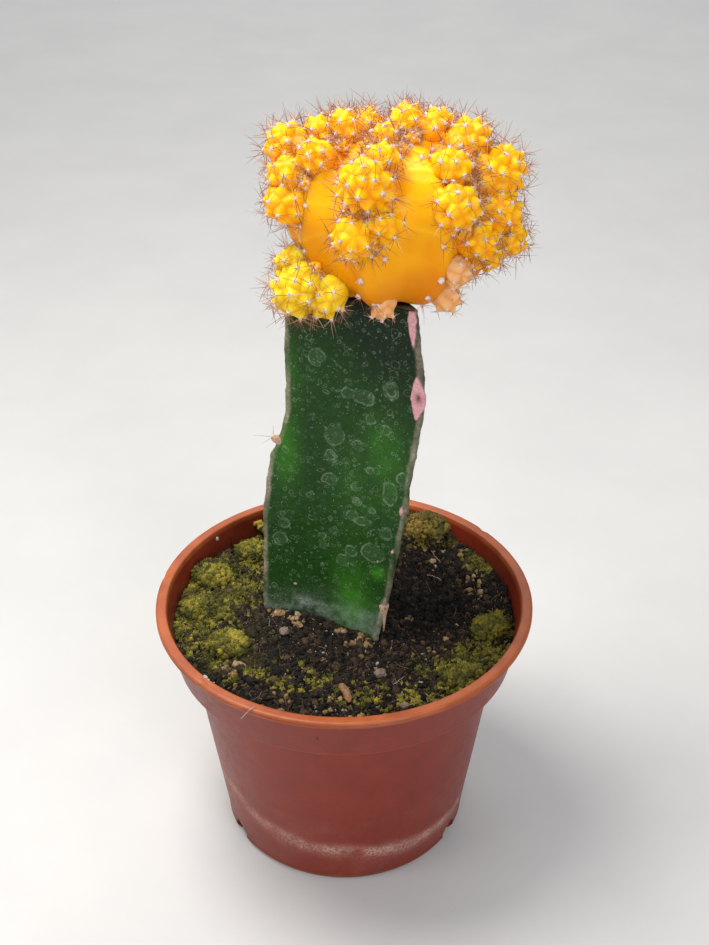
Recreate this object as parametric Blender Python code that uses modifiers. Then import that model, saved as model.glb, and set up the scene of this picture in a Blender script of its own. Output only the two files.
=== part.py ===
"""A potted moon cactus: a yellow grafted head, crowded with offsets, on a three-ribbed green
rootstock, standing in peat soil in a small plastic nursery pot.

Run it with: blender --background --python part.py
Sizes are in millimetres up here, and MM turns them into metres as the meshes are made.
The origin is the middle of the pot's foot, on the surface it stands on, with +Z up.
Bearings are in degrees around the plant: 0 faces the front (-Y), and +90 faces +X.
"""

import math
from collections import namedtuple

import bmesh
import bpy
from mathutils import Vector, noise
from mathutils.bvhtree import BVHTree

MM = 0.001
GAP = 0.3  # what touching pieces keep between them
SEAT_GAP = 0.5  # and a little more where a coarse ball meets a curved skin

# Pot: a thin injection-moulded nursery pot, 85 mm across its rim
POT_HEIGHT = 61.0
RIM_RADIUS = 42.5
RIM_WIDTH = 2.4
LIP_DEPTH = 1.6
WALL = 0.9
STEP_Z = 48.5  # where the body steps out into the collar
COLLAR_RADIUS = 38.4  # the collar's outside, just above the step
COLLAR_TOP_RADIUS = 41.0
STEP_RADIUS = 35.1  # the body's outside, just under the step
FOOT_RADIUS = 28.3
FOOT_RECESS = 1.2
FLOOR_Z = 2.2
POT_STEPS = 64
DRAIN_BEARINGS = (60.0, 180.0, 300.0)
DRAIN_RADIUS = 2.6
DRAIN_TILT = -35.0  # each hole slants down and out
DRAIN_Z = 1.9
DRAIN_CUT_LENGTH = 10.0

# Soil: its level, and the swells and hollows in it as (x, y, height, spread)
SOIL_Z = 53.8
SOIL_SWELLS = (
    (-12.0, -4.0, 3.2, 8.0),
    (18.0, 36.0, 6.0, 10.0),
    (36.0, 14.0, 3.2, 9.0),
    (18.0, 10.0, -6.0, 8.0),
    (-28.0, 8.0, 1.6, 9.0),
)
SOIL_ROUGHNESS = 0.6
BUMPS_PER_MM = 0.22
SOIL_RINGS = 9
SOIL_STEPS = 48

# Rootstock: where its three rib tips run, as (z, x) or (z, y) turning points
STEM_FOOT_Z = 30.0
STEM_TOP_Z = 135.0
LEFT_RIB_X = (
    (30.0, -15.0),
    (52.0, -17.7),
    (80.0, -16.9),
    (90.0, -15.9),
    (97.0, -14.8),
    (100.7, -13.3),
    (104.0, -12.2),
    (109.0, -11.1),
    (135.0, -11.0),
)
RIGHT_RIB_X = ((30.0, 4.0), (52.0, 6.7), (70.0, 10.0), (90.0, 13.0), (115.0, 15.8), (135.0, 14.0))
BACK_RIB_Y = ((30.0, 14.0), (60.0, 20.0), (110.0, 21.5), (135.0, 19.5))
LEFT_RIB_Y = 2.0
RIGHT_RIB_Y = -6.0
BACK_RIB_X = 4.5
RIB_EDGE = 1.2  # half the thickness of a rib's edge
RIB_ROUNDING = 0.3  # how far the edge bulges past its two corners
FACE_HOLLOW = 1.3  # how far each face dishes in between two ribs
STEM_STATIONS = 22
FACE_POINTS = 8  # points along each face, between its two rib edges
SOCKET_FOOT_Z = 28.0  # the socket in the soil runs from under the stem to above the soil
SOCKET_TOP_Z = 65.8
SOCKET_STATIONS = 8

# Scion: the swollen round body of the grafted head, on eight low ribs
SCION_CENTRE = Vector((9.5, 4.0, 150.0))
SCION_RADIUS = 18.5
SCION_DEPTH_SCALE = 0.95  # front to back it is a little thinner
SCION_UP = 16.5
SCION_DOWN = 15.0
SCION_UP_POWER = 2.8  # over 2 gives it its full, square shoulders
SCION_DOWN_POWER = 2.2
SCION_RIBS = 8
SCION_RIB_BEARING = -59.5
SCION_RIB_HEIGHT = 0.05
SCION_CROWN_DIP = 1.5
CROWN_DIP_WIDTH = 0.22  # as a share of the scion's radius

# Offsets: where each sits on the head (bearing and tilt in degrees, and its reach from the
# scion's centre), and its radius
Offset = namedtuple("Offset", "bearing tilt reach radius")
OFFSETS = (
    # the crest over the left shoulder
    Offset(-90, 36, 24.5, 4.0),
    Offset(-78, 27, 22.5, 3.8),
    Offset(-71, 16, 22.5, 3.5),
    Offset(-67, 43, 22.0, 2.7),
    Offset(-94, 50, 22.0, 2.7),
    Offset(-96, 63, 20.5, 2.6),
    Offset(-126, 70, 18.5, 2.2),
    # the ring round the crown
    Offset(127, 79, 18.0, 3.5),
    Offset(98, 65, 20.5, 2.5),
    Offset(86, 48, 21.5, 4.0),
    Offset(160, 62, 19.1, 2.9),
    Offset(-155, 54, 19.3, 2.5),
    # the cluster on the right shoulder
    Offset(79, 28, 23.5, 4.5),
    Offset(45, 43, 20.5, 3.5),
    Offset(37, 24, 20.5, 4.0),
    Offset(71, 11, 21.5, 4.3),
    Offset(53, 3, 20.0, 3.4),
    Offset(72, -3, 23.5, 3.2),
    Offset(60, -9, 21.0, 2.5),
    # the two knots down the front
    Offset(-18, 37, 21.5, 4.5),
    Offset(-11, 54, 19.5, 3.0),
    Offset(-22, 76, 18.0, 2.4),
    Offset(-21, 11, 20.0, 3.7),
    Offset(-7, 19, 19.5, 3.0),
    # the big cluster that hangs at the lower left
    Offset(-58, -25, 23.5, 5.0),
    Offset(-46, -31, 21.5, 3.5),
    Offset(-66, -15, 22.0, 2.7),
    # the pale young ones under the head
    Offset(-8, -44, 18.5, 2.4),
    Offset(43, -37, 19.5, 2.8),
    Offset(39, -14, 19.5, 3.0),
    # the back
    Offset(-148, 34, 21.0, 4.2),
    Offset(-168, 10, 20.0, 4.3),
    Offset(160, 30, 21.0, 4.3),
    Offset(140, 4, 20.0, 3.6),
    Offset(-130, -6, 20.0, 3.8),
    Offset(117, 24, 21.0, 3.8),
    Offset(150, -20, 19.5, 3.2),
    Offset(-172, -20, 19.0, 3.0),
)
OFFSET_TIP_FLATTEN = 0.05
OFFSET_LUMP = 0.05
LUMPS_PER_RADIUS = 2.5
FINE_OFFSET_RADIUS = 3.7  # from this radius up an offset gets the finer ball

# Moss cushions on the soil: (x, y, radius, height)
MOSS = (
    (-30.5, 14.0, 6.5, 2.4),
    (-33.0, 1.5, 4.6, 2.2),
    (-25.5, -11.0, 5.0, 2.0),
    (-22.0, 24.0, 5.2, 2.4),
    (33.0, -4.5, 4.6, 2.0),
    (26.0, -21.5, 5.2, 2.0),
    (20.0, 29.5, 6.0, 2.2),
    (8.0, 32.0, 4.6, 2.0),
)

# Loose pieces on the soil: a splinter of bark, and three crumbs of grit, as (x, y, radius)
SPLINTER_ENDS = ((-0.8, -23.6), (1.2, -29.2))
SPLINTER_RADIUS = 0.8
GRIT = ((7.8, -19.9, 1.5), (-13.4, -8.6, 1.3), (13.0, -30.0, 1.2))
REST_GAP = 0.45  # how far a loose piece stays off the soil it lies on


# ---------------------------------------------------------------- helpers


def clear_scene():
    """Removes the startup scene's objects, so that only the plant is left."""
    for obj in list(bpy.data.objects):
        bpy.data.objects.remove(obj)


def new_collection(name, rendered=True):
    collection = bpy.data.collections.new(name)
    collection.hide_render = not rendered
    bpy.context.scene.collection.children.link(collection)
    return collection


def material(name, colour, roughness):
    """A Principled material of one colour; nothing on this plant or pot is metal."""
    made = bpy.data.materials.new(name)
    made.use_nodes = True
    shader = made.node_tree.nodes["Principled BSDF"]
    shader.inputs["Base Color"].default_value = (*colour, 1.0)
    shader.inputs["Roughness"].default_value = roughness
    shader.inputs["Metallic"].default_value = 0.0
    return made


def add_piece(name, mesh, finish, collection, smooth=True):
    obj = bpy.data.objects.new(name, mesh)
    mesh.name = name
    if finish:
        mesh.materials.append(finish)
    collection.objects.link(obj)
    if smooth:
        mesh.shade_smooth()
    return obj


def mesh_of(points, edges=(), faces=()):
    """A mesh from points in millimetres."""
    mesh = bpy.data.meshes.new("mesh")
    mesh.from_pydata([Vector(p) * MM for p in points], edges, faces)
    return mesh


def turned(name, profile, steps, finish, collection):
    """A turned solid: a profile of (radius, z) points, spun about Z by a Screw modifier."""
    points = [(radius, 0.0, z) for radius, z in profile]
    edges = [(i, i + 1) for i in range(len(points) - 1)]
    obj = add_piece(name, mesh_of(points, edges), finish, collection, smooth=False)
    screw = obj.modifiers.new("spin", "SCREW")
    screw.steps = steps
    screw.render_steps = steps
    screw.use_merge_vertices = True
    screw.merge_threshold = 0.00005
    screw.use_smooth_shade = True
    return obj


def evaluated_mesh(obj):
    """The object's mesh with its modifiers applied, in world space."""
    bpy.context.view_layer.update()
    graph = bpy.context.evaluated_depsgraph_get()
    mesh = bpy.data.meshes.new_from_object(obj.evaluated_get(graph))
    mesh.transform(obj.matrix_world)
    return mesh


def tree_of(obj):
    """A search tree over the object's finished surface, in metres."""
    mesh = evaluated_mesh(obj)
    points = [v.co for v in mesh.vertices]
    return BVHTree.FromPolygons(points, [tuple(p.vertices) for p in mesh.polygons])


def cut(obj, cutter):
    boolean = obj.modifiers.new("cut " + cutter.name, "BOOLEAN")
    boolean.operation = "DIFFERENCE"
    boolean.solver = "EXACT"
    boolean.object = cutter
    cutter.hide_render = True
    cutter.display_type = "WIRE"


def between(turning_points, at):
    """The value at a height, read between (height, value) turning points with eased corners."""
    if at <= turning_points[0][0]:
        return turning_points[0][1]
    for (z0, value0), (z1, value1) in zip(turning_points, turning_points[1:]):
        if at <= z1:
            share = (at - z0) / (z1 - z0)
            eased = share * share * (3 - 2 * share)
            return value0 + (value1 - value0) * (share + eased) / 2
    return turning_points[-1][1]


def on_bearing(bearing, tilt=0.0):
    """The unit direction at a bearing, tilted up from level; both in degrees."""
    side, up = math.radians(bearing), math.radians(tilt)
    level = math.cos(up)
    return Vector((math.sin(side) * level, -math.cos(side) * level, math.sin(up)))


def reach_to(tree, start, direction, gap):
    """How far a ray may go before it is a gap short of the surface, all in millimetres."""
    hit, normal, _, distance = tree.ray_cast(start * MM, direction)
    if hit is None:
        return math.inf
    # a slanting ray needs more room, so that the gap is kept square to the surface
    slant = max(abs(normal.dot(direction)), 0.3)
    return distance / MM - gap / slant


# ---------------------------------------------------------------- pot


def pot_inner_radius(z):
    """The pot's inside radius at a height."""
    if z < STEP_Z:
        return between(((FLOOR_Z, FOOT_RADIUS - WALL), (STEP_Z, STEP_RADIUS - WALL)), z)
    return between(((STEP_Z + 1.1, COLLAR_RADIUS - WALL), (POT_HEIGHT, RIM_RADIUS - RIM_WIDTH)), z)


def make_pot(collection, cutters):
    """The pot is one shell, spun from its profile, with a recessed base and drain holes."""
    finish = material("terracotta plastic", (0.42, 0.10, 0.045), 0.42)
    top_inner = RIM_RADIUS - RIM_WIDTH
    profile = [
        (0.0, FLOOR_Z),
        (FOOT_RADIUS - WALL - 0.8, FLOOR_Z),
        (pot_inner_radius(FLOOR_Z + 0.8), FLOOR_Z + 0.8),
        (STEP_RADIUS - WALL, STEP_Z - 0.3),
        (COLLAR_RADIUS - WALL, STEP_Z + 1.1),
        (top_inner, POT_HEIGHT - 0.3),
        (top_inner + 0.3, POT_HEIGHT),
        (RIM_RADIUS - 0.4, POT_HEIGHT),
        (RIM_RADIUS, POT_HEIGHT - 0.4),
        (RIM_RADIUS, POT_HEIGHT - LIP_DEPTH),
        (COLLAR_TOP_RADIUS, POT_HEIGHT - LIP_DEPTH - 0.3),
        (COLLAR_RADIUS + 0.1, STEP_Z + 0.5),
        (COLLAR_RADIUS - 0.4, STEP_Z),
        (STEP_RADIUS, STEP_Z - 0.3),
        (FOOT_RADIUS + 0.2, 1.4),
        (FOOT_RADIUS, 0.9),
        (FOOT_RADIUS - 0.4, 0.0),
        (FOOT_RADIUS - 2.2, 0.0),
        (FOOT_RADIUS - 2.6, FOOT_RECESS),
        (0.0, FOOT_RECESS),
    ]
    pot = turned("nursery_pot", profile, POT_STEPS, finish, collection)
    for number, bearing in enumerate(DRAIN_BEARINGS, 1):
        cut(pot, make_drain(f"drain cutter {number}", bearing, cutters))
    return pot


def make_drain(name, bearing, cutters):
    """A round drain hole through the corner of the base, slanting down and out."""
    solid = bmesh.new()
    bmesh.ops.create_cone(
        solid,
        cap_ends=True,
        segments=16,
        radius1=DRAIN_RADIUS * MM,
        radius2=DRAIN_RADIUS * MM,
        depth=DRAIN_CUT_LENGTH * MM,
    )
    mesh = bpy.data.meshes.new(name)
    solid.to_mesh(mesh)
    solid.free()
    cutter = add_piece(name, mesh, None, cutters)
    cutter.rotation_mode = "QUATERNION"
    cutter.rotation_quaternion = on_bearing(bearing, DRAIN_TILT).to_track_quat("Z", "Y")
    cutter.location = (on_bearing(bearing) * (FOOT_RADIUS - 0.6) + Vector((0, 0, DRAIN_Z))) * MM
    return cutter


# ---------------------------------------------------------------- rootstock


def stem_section(z, swell=0.0):
    """The closed outline of the three-ribbed stem at a height, as (x, y) points.

    Each rib ends in a blunt edge, and each face between two ribs dishes in a little.
    A swell moves the whole outline outwards by that much.
    """
    tips = [
        Vector((between(LEFT_RIB_X, z), LEFT_RIB_Y)),
        Vector((between(RIGHT_RIB_X, z), RIGHT_RIB_Y)),
        Vector((BACK_RIB_X, between(BACK_RIB_Y, z))),
    ]
    middle = sum(tips, Vector((0, 0))) / 3
    outline = []
    for number, tip in enumerate(tips):
        after = tips[(number + 1) % 3]
        outward = (tip - middle).normalized()
        across = Vector((-outward.y, outward.x))
        start = tip + across * (RIB_EDGE + swell) + outward * swell
        next_outward = (after - middle).normalized()
        next_across = Vector((-next_outward.y, next_outward.x))
        end = after - next_across * (RIB_EDGE + swell) + next_outward * swell
        inward = Vector((-(end - start).y, (end - start).x)).normalized()
        for step in range(FACE_POINTS):
            share = step / (FACE_POINTS - 1)
            dish = (FACE_HOLLOW - swell) * math.sin(math.pi * share) ** 1.5
            outline.append(start.lerp(end, share) + inward * dish)
        outline.append(after + next_outward * (swell + RIB_ROUNDING))
    return outline


def stem_loft(name, low, high, stations, swell, finish, collection):
    """A loft up through the stem's sections, closed flat at both ends."""
    points, faces = [], []
    for station in range(stations):
        z = low + (high - low) * station / (stations - 1)
        section = stem_section(z, swell)
        points += [(x, y, z) for x, y in section]
    count = len(points) // stations
    for station in range(stations - 1):
        for i in range(count):
            j = (i + 1) % count
            below, above = station * count, (station + 1) * count
            faces.append((below + i, below + j, above + j, above + i))
    faces.append(tuple(reversed(range(count))))
    faces.append(tuple(range((stations - 1) * count, stations * count)))
    obj = add_piece(name, mesh_of(points, faces=faces), finish, collection)
    obj.data.set_sharp_from_angle(angle=math.radians(50))
    return obj


def make_rootstock(collection):
    finish = material("green stem skin", (0.018, 0.075, 0.022), 0.5)
    return stem_loft("rootstock", STEM_FOOT_Z, STEM_TOP_Z, STEM_STATIONS, 0.0, finish, collection)


# ---------------------------------------------------------------- soil


def soil_height(x, y):
    """The height of the soil's surface above the foot, at a place across the pot."""
    height = SOIL_Z
    for swell_x, swell_y, rise, spread in SOIL_SWELLS:
        away = ((x - swell_x) ** 2 + (y - swell_y) ** 2) / (2 * spread**2)
        height += rise * math.exp(-away)
    return height + SOIL_ROUGHNESS * noise.noise(Vector((x, y, 0.0)) * BUMPS_PER_MM)


def make_soil(collection, cutters):
    """The soil is a plug that fills the pot, with a rough top and a socket for the stem."""
    finish = material("peat soil", (0.035, 0.026, 0.018), 0.95)
    edge = pot_inner_radius(SOIL_Z) - GAP
    rings = [(edge * (ring + 1) / SOIL_RINGS, SOIL_Z) for ring in range(SOIL_RINGS)]
    profile = [(0.0, SOIL_Z)] + rings
    profile += [
        (COLLAR_RADIUS - WALL - GAP, STEP_Z + 1.4),
        (STEP_RADIUS - WALL - GAP, STEP_Z - 0.1),
        (pot_inner_radius(FLOOR_Z + 1.1) - GAP - 0.1, FLOOR_Z + 1.1),
        (FOOT_RADIUS - WALL - 1.1, FLOOR_Z + GAP),
        (0.0, FLOOR_Z + GAP),
    ]
    plug = turned("soil plug", profile, SOIL_STEPS, finish, cutters)
    mesh = evaluated_mesh(plug)
    bpy.data.objects.remove(plug)
    for vertex in mesh.vertices:
        if vertex.co.z < (SOIL_Z - 0.01) * MM:
            continue
        x, y = vertex.co.x / MM, vertex.co.y / MM
        height = soil_height(x, y)
        # the outermost ring follows the pot's flare as it rises
        spread = (pot_inner_radius(height) - GAP) / edge if math.hypot(x, y) > edge - 0.1 else 1.0
        vertex.co = Vector((x * spread, y * spread, height)) * MM
    soil = add_piece("potting_soil", mesh, None, collection)
    socket = stem_loft(
        "socket cutter", SOCKET_FOOT_Z, SOCKET_TOP_Z, SOCKET_STATIONS, GAP, None, cutters
    )
    cut(soil, socket)
    return soil


# ---------------------------------------------------------------- scion


def scion_radius(direction):
    """How far the scion's skin lies from its centre, in a unit direction.

    A superellipsoid gives the full shoulders, and a cosine round it the eight low ribs.
    """
    level = math.hypot(direction.x, direction.y / SCION_DEPTH_SCALE)
    up = direction.z > 0
    height, power = (SCION_UP, SCION_UP_POWER) if up else (SCION_DOWN, SCION_DOWN_POWER)
    body = ((level / SCION_RADIUS) ** power + (abs(direction.z) / height) ** power) ** (-1 / power)
    bearing = math.atan2(direction.x, -direction.y)
    wave = math.cos(SCION_RIBS * (bearing - math.radians(SCION_RIB_BEARING)))
    dip = SCION_CROWN_DIP * math.exp(-((level / CROWN_DIP_WIDTH) ** 2)) if up else 0.0
    return body * (1 + SCION_RIB_HEIGHT * wave * level**1.5) - dip


def make_scion(collection):
    """The scion starts as a ball, is pushed out to its ribs, and is cut flat at the graft."""
    finish = material("yellow cactus skin", (0.85, 0.42, 0.01), 0.4)
    ball = bmesh.new()
    bmesh.ops.create_uvsphere(ball, u_segments=48, v_segments=24, radius=1.0)
    for vertex in ball.verts:
        direction = vertex.co.normalized()
        point = SCION_CENTRE + direction * scion_radius(direction)
        point.z = max(point.z, STEM_TOP_Z + GAP)
        vertex.co = point * MM
    mesh = bpy.data.meshes.new("scion")
    ball.to_mesh(mesh)
    ball.free()
    return add_piece("scion", mesh, finish, collection)


# ---------------------------------------------------------------- offsets


def wall_between(centre, radius, other_centre, other_radius):
    """The pressed wall between two crowded offsets: which way it lies, and how far off it is."""
    apart = other_centre - centre
    distance = apart.length
    middle = (distance**2 + radius**2 - other_radius**2) / (2 * distance)
    return apart / distance, middle - GAP / 2


def offset_reach(direction, offset, inward, neck):
    """An offset's own free shape: a slightly flat-topped, lumpy ball with a neck to the scion."""
    facing = direction.dot(inward)
    radius = offset.radius * (1 - OFFSET_TIP_FLATTEN * max(0.0, -facing) ** 4)
    bumps = noise.noise(direction * LUMPS_PER_RADIUS + Vector((offset.bearing, offset.tilt, 0)))
    radius *= 1 + OFFSET_LUMP * bumps
    if neck > radius:
        radius += (neck - radius) * max(0.0, facing) ** 3
    return radius


def make_offsets(collection, trees):
    """Each offset is a ball grown until it meets its neighbours, the scion or the stem."""
    finish = material("yellow offset skin", (0.86, 0.50, 0.02), 0.4)
    centres = [SCION_CENTRE + on_bearing(o.bearing, o.tilt) * o.reach for o in OFFSETS]
    for number, (offset, centre) in enumerate(zip(OFFSETS, centres), 1):
        inward = (SCION_CENTRE - centre).normalized()
        neck = reach_to(trees[0], centre, inward, GAP) + 0.5
        walls = [
            wall_between(centre, offset.radius, other_centre, other.radius)
            for other, other_centre in zip(OFFSETS, centres)
            if other is not offset
        ]
        ball = bmesh.new()
        level = 3 if offset.radius >= FINE_OFFSET_RADIUS else 2
        bmesh.ops.create_icosphere(ball, subdivisions=level, radius=1.0)
        for vertex in ball.verts:
            direction = vertex.co.normalized()
            reach = offset_reach(direction, offset, inward, neck)
            for facing, room in walls:
                slant = direction.dot(facing)
                if slant > 0:
                    reach = min(reach, room / slant)
            for tree in trees:
                reach = min(reach, reach_to(tree, centre, direction, SEAT_GAP))
            vertex.co = (centre + direction * reach) * MM
        name = f"offset_{number:02d}"
        mesh = bpy.data.meshes.new(name)
        ball.to_mesh(mesh)
        ball.free()
        add_piece(name, mesh, finish, collection)


# ---------------------------------------------------------------- what lies on the soil


def dome_on(name, centre, shape, trees, finish, collection, level=3):
    """A flattened ball that sits on the soil and stops short of whatever it meets."""
    ball = bmesh.new()
    bmesh.ops.create_icosphere(ball, subdivisions=level, radius=1.0)
    for vertex in ball.verts:
        direction = vertex.co.normalized()
        stretched = Vector((direction.x / shape[0], direction.y / shape[1], direction.z / shape[2]))
        reach = 1 / stretched.length
        reach *= 1 + 0.08 * noise.noise(direction * 3 + centre * 0.3)
        for tree in trees:
            reach = min(reach, reach_to(tree, centre, direction, REST_GAP))
        vertex.co = (centre + direction * reach) * MM
    mesh = bpy.data.meshes.new(name)
    ball.to_mesh(mesh)
    ball.free()
    return add_piece(name, mesh, finish, collection)


def make_moss(collection, trees):
    finish = material("moss", (0.20, 0.19, 0.03), 0.95)
    for number, (x, y, radius, height) in enumerate(MOSS, 1):
        centre = Vector((x, y, soil_height(x, y) + 1.1))
        shape = (radius, radius * 0.85, height)
        dome_on(f"moss_cushion_{number}", centre, shape, trees, finish, collection)


def make_splinter(collection, tree):
    """A splinter of bark lying on the soil: a short bent rod with blunt ends."""
    finish = material("bark", (0.16, 0.07, 0.035), 0.9)
    start, end = (Vector((x, y, 0)) for x, y in SPLINTER_ENDS)
    bend = Vector((0.5, 0.1, 0))
    path = [start, start.lerp(end, 0.5) + bend, end]
    highest = max(soil_height(p.x, p.y) for p in path)
    points = [(p.x, p.y, highest + SPLINTER_RADIUS + REST_GAP) for p in path]
    curve = bpy.data.curves.new("bark_splinter", "CURVE")
    curve.dimensions = "3D"
    curve.bevel_depth = SPLINTER_RADIUS * MM
    curve.bevel_resolution = 2
    curve.use_fill_caps = True
    spline = curve.splines.new("POLY")
    spline.points.add(len(points) - 1)
    for target, point in zip(spline.points, points):
        target.co = (*(Vector(point) * MM), 1.0)
    curve.materials.append(finish)
    obj = bpy.data.objects.new("bark_splinter", curve)
    collection.objects.link(obj)
    # let it down onto the soil: by the least room found under any point of its skin
    mesh = evaluated_mesh(obj)
    down = Vector((0, 0, -1))
    room = min(reach_to(tree, v.co / MM, down, REST_GAP) for v in mesh.vertices)
    obj.location.z = -room * MM
    return obj


def make_grit(collection, trees):
    finish = material("grit", (0.33, 0.22, 0.17), 0.85)
    for number, (x, y, radius) in enumerate(GRIT, 1):
        centre = Vector((x, y, soil_height(x, y) + radius * 0.8))
        shape = (radius, radius * 0.8, radius * 0.75)
        dome_on(f"grit_crumb_{number}", centre, shape, trees, finish, collection, level=2)


# ---------------------------------------------------------------- the whole plant


def main():
    clear_scene()
    plant = new_collection("potted moon cactus")
    cutters = new_collection("cutters", rendered=False)
    pot = make_pot(plant, cutters)
    rootstock = make_rootstock(plant)
    soil = make_soil(plant, cutters)
    scion = make_scion(plant)
    make_offsets(plant, [tree_of(scion), tree_of(rootstock)])
    soil_tree = tree_of(soil)
    ground = [soil_tree, tree_of(pot), tree_of(rootstock)]
    make_moss(plant, ground)
    make_splinter(plant, soil_tree)
    make_grit(plant, ground)


main()
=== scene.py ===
# %% [markdown]
# # A potted moon cactus
# A moon cactus is two plants in one. The bright yellow head has no green in it and can't feed
# itself, so a grower sets it on the cut top of a green, three-ribbed climbing cactus.
# This lesson builds the looks of one in its small plastic pot: the pot, the peat in it, the green
# rootstock, the swollen head, and the offsets, wool and spines that crowd over it.
# The frame gives every node's place and size, and all lengths here are in millimetres until a
# mesh is made.

# %% The frame and the box it fills
import itertools
import math

import bmesh
import bpy
import numpy as np
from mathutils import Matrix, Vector
from mathutils.bvhtree import BVHTree


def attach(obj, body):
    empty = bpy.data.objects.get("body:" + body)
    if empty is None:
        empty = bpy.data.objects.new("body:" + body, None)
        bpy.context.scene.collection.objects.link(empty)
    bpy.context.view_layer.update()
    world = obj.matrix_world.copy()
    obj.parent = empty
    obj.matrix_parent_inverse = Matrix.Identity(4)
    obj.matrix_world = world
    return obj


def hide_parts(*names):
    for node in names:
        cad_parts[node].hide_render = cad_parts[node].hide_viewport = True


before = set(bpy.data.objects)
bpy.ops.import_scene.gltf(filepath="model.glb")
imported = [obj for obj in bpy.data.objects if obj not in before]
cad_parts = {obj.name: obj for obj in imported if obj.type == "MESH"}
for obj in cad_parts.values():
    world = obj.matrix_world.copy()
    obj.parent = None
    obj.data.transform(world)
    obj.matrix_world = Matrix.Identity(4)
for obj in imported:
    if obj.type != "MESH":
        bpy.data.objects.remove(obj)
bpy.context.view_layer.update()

MM = 0.001

# %% [markdown]
# The camera looks down on the plant by about a third of a right angle, from a little over a
# third of a metre away, as someone at a table would. It could be aimed with a constraint, but a
# plain place and tilt can be read at a glance.

# %% The camera
CAMERA_PLACE = (2.3, -257.1, 258.0)
CAMERA_DOWN = 32.56  # degrees below level
CAMERA_LENS = 54.5

camera_data = bpy.data.cameras.new("camera")
camera_data.lens = CAMERA_LENS
camera_data.sensor_width = 36.0
camera_data.clip_start = 0.01
camera = bpy.data.objects.new("camera", camera_data)
camera.location = Vector(CAMERA_PLACE) * MM
camera.rotation_euler = (math.radians(90 - CAMERA_DOWN), 0, 0)
bpy.context.scene.collection.objects.link(camera)
bpy.context.scene.camera = camera
print("camera distance, mm:", round(Vector(CAMERA_PLACE).length))

# %% [markdown]
# Studio light for something fleshy: one big soft lamp above and slightly behind, which rounds
# the head and lights the spines from the back, a weaker one low in front, one at the side, one
# for the floor behind, and a pale sky for the rest. A bare bulb would show the spines more
# sharply, but its hard shadows would hide the soil.

# %% Lights, sky and floor
def soft_lamp(name, place, aim, size, power, colour):
    lamp = bpy.data.lights.new(name, "AREA")
    lamp.shape = "DISK"
    lamp.size = size * MM
    lamp.energy = power
    lamp.color = colour
    obj = bpy.data.objects.new(name, lamp)
    obj.location = Vector(place) * MM
    towards = Vector(aim) - Vector(place)
    obj.rotation_euler = towards.to_track_quat("-Z", "Y").to_euler()
    bpy.context.scene.collection.objects.link(obj)


HEAD_MIDDLE, PLANT_MIDDLE = (9.5, 4.0, 150.0), (0, 0, 90)
LAMPS = (  # name, place, what it aims at, width, power and colour
    ("key", (-130, 40, 470), HEAD_MIDDLE, 230, 2.15, (1.0, 0.97, 0.92)),
    ("fill", (240, -540, 330), PLANT_MIDDLE, 420, 2.2, (0.95, 0.97, 1.0)),
    ("side", (-420, -160, 200), PLANT_MIDDLE, 260, 0.7, (1.0, 0.98, 0.95)),
    ("floor behind", (0, 800, 700), (0, 850, 0), 900, 3.5, (1.0, 1.0, 1.0)),
)
SKY_COLOUR, SKY_STRENGTH = (0.86, 0.88, 0.91, 1), 0.46

for lamp_facts in LAMPS:
    soft_lamp(*lamp_facts)
sky = bpy.data.worlds.new("sky")
sky.use_nodes = True
sky.node_tree.nodes["Background"].inputs["Color"].default_value = SKY_COLOUR
sky.node_tree.nodes["Background"].inputs["Strength"].default_value = SKY_STRENGTH
bpy.context.scene.world = sky
bpy.context.scene.view_settings.view_transform = "Standard"
print("lamps:", len(LAMPS))

# %% [markdown]
# Materials come next. Each is made by a short function that takes the shader Blender gives a new
# material and adds what feeds its colour, roughness and normal. Adding and joining nodes one by
# one is long to read, so a few helpers do it: each makes a node and joins what it is given.

# %% Helpers for node trees
PER_METRE = 1000.0  # turns a rate per millimetre into one per metre


def add_node(tree, kind, **settings):
    """A new node. A setting named like a socket sets that socket, any other sets the node itself."""
    node = tree.nodes.new("ShaderNode" + kind)
    for name, value in settings.items():
        socket = node.inputs.get(name.replace("_", " "))
        if socket is not None:
            socket.default_value = value
        else:
            setattr(node, name, value)
    return node


def feed(tree, socket, value):
    """Joins a socket to another one, or sets it to plain numbers, or to a colour of three."""
    if isinstance(value, bpy.types.NodeSocket):
        tree.links.new(value, socket)
    else:
        socket.default_value = (*value, 1) if isinstance(value, tuple) and len(value) == 3 else value


def feed_named(tree, node, **values):
    """Feeds the sockets with these names, and gives back the node."""
    for name, value in values.items():
        feed(tree, node.inputs[name.replace("_", " ")], value)
    return node


def calculate(tree, operation, *values, clamp=False):
    """A math node on sockets or plain numbers."""
    node = add_node(tree, "Math", operation=operation, use_clamp=clamp)
    for socket, value in zip(node.inputs, values):
        feed(tree, socket, value)
    return node.outputs[0]


def chained(tree, operation, values):
    """One operation on any number of sockets and plain numbers, two at a time."""
    made = values[0]
    for value in values[1:]:
        made = calculate(tree, operation, made, value)
    return made


def times(tree, *values):
    return chained(tree, "MULTIPLY", values)


def plus(tree, *values):
    return chained(tree, "ADD", values)


def greatest(tree, *values):
    return chained(tree, "MAXIMUM", values)


def mix_colour(tree, factor, first, second, blend="MIX"):
    """Mixes two colours. Each may be a socket or plain numbers, and so may the factor."""
    node = add_node(tree, "Mix", data_type="RGBA", blend_type=blend)
    for index, value in ((0, factor), (6, first), (7, second)):  # the colour sockets are 6 and 7
        feed(tree, node.inputs[index], value)
    return node.outputs[2]


def attribute(tree, name):
    """A mask painted on the mesh's points."""
    return add_node(tree, "Attribute", attribute_name=name).outputs["Fac"]


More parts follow.
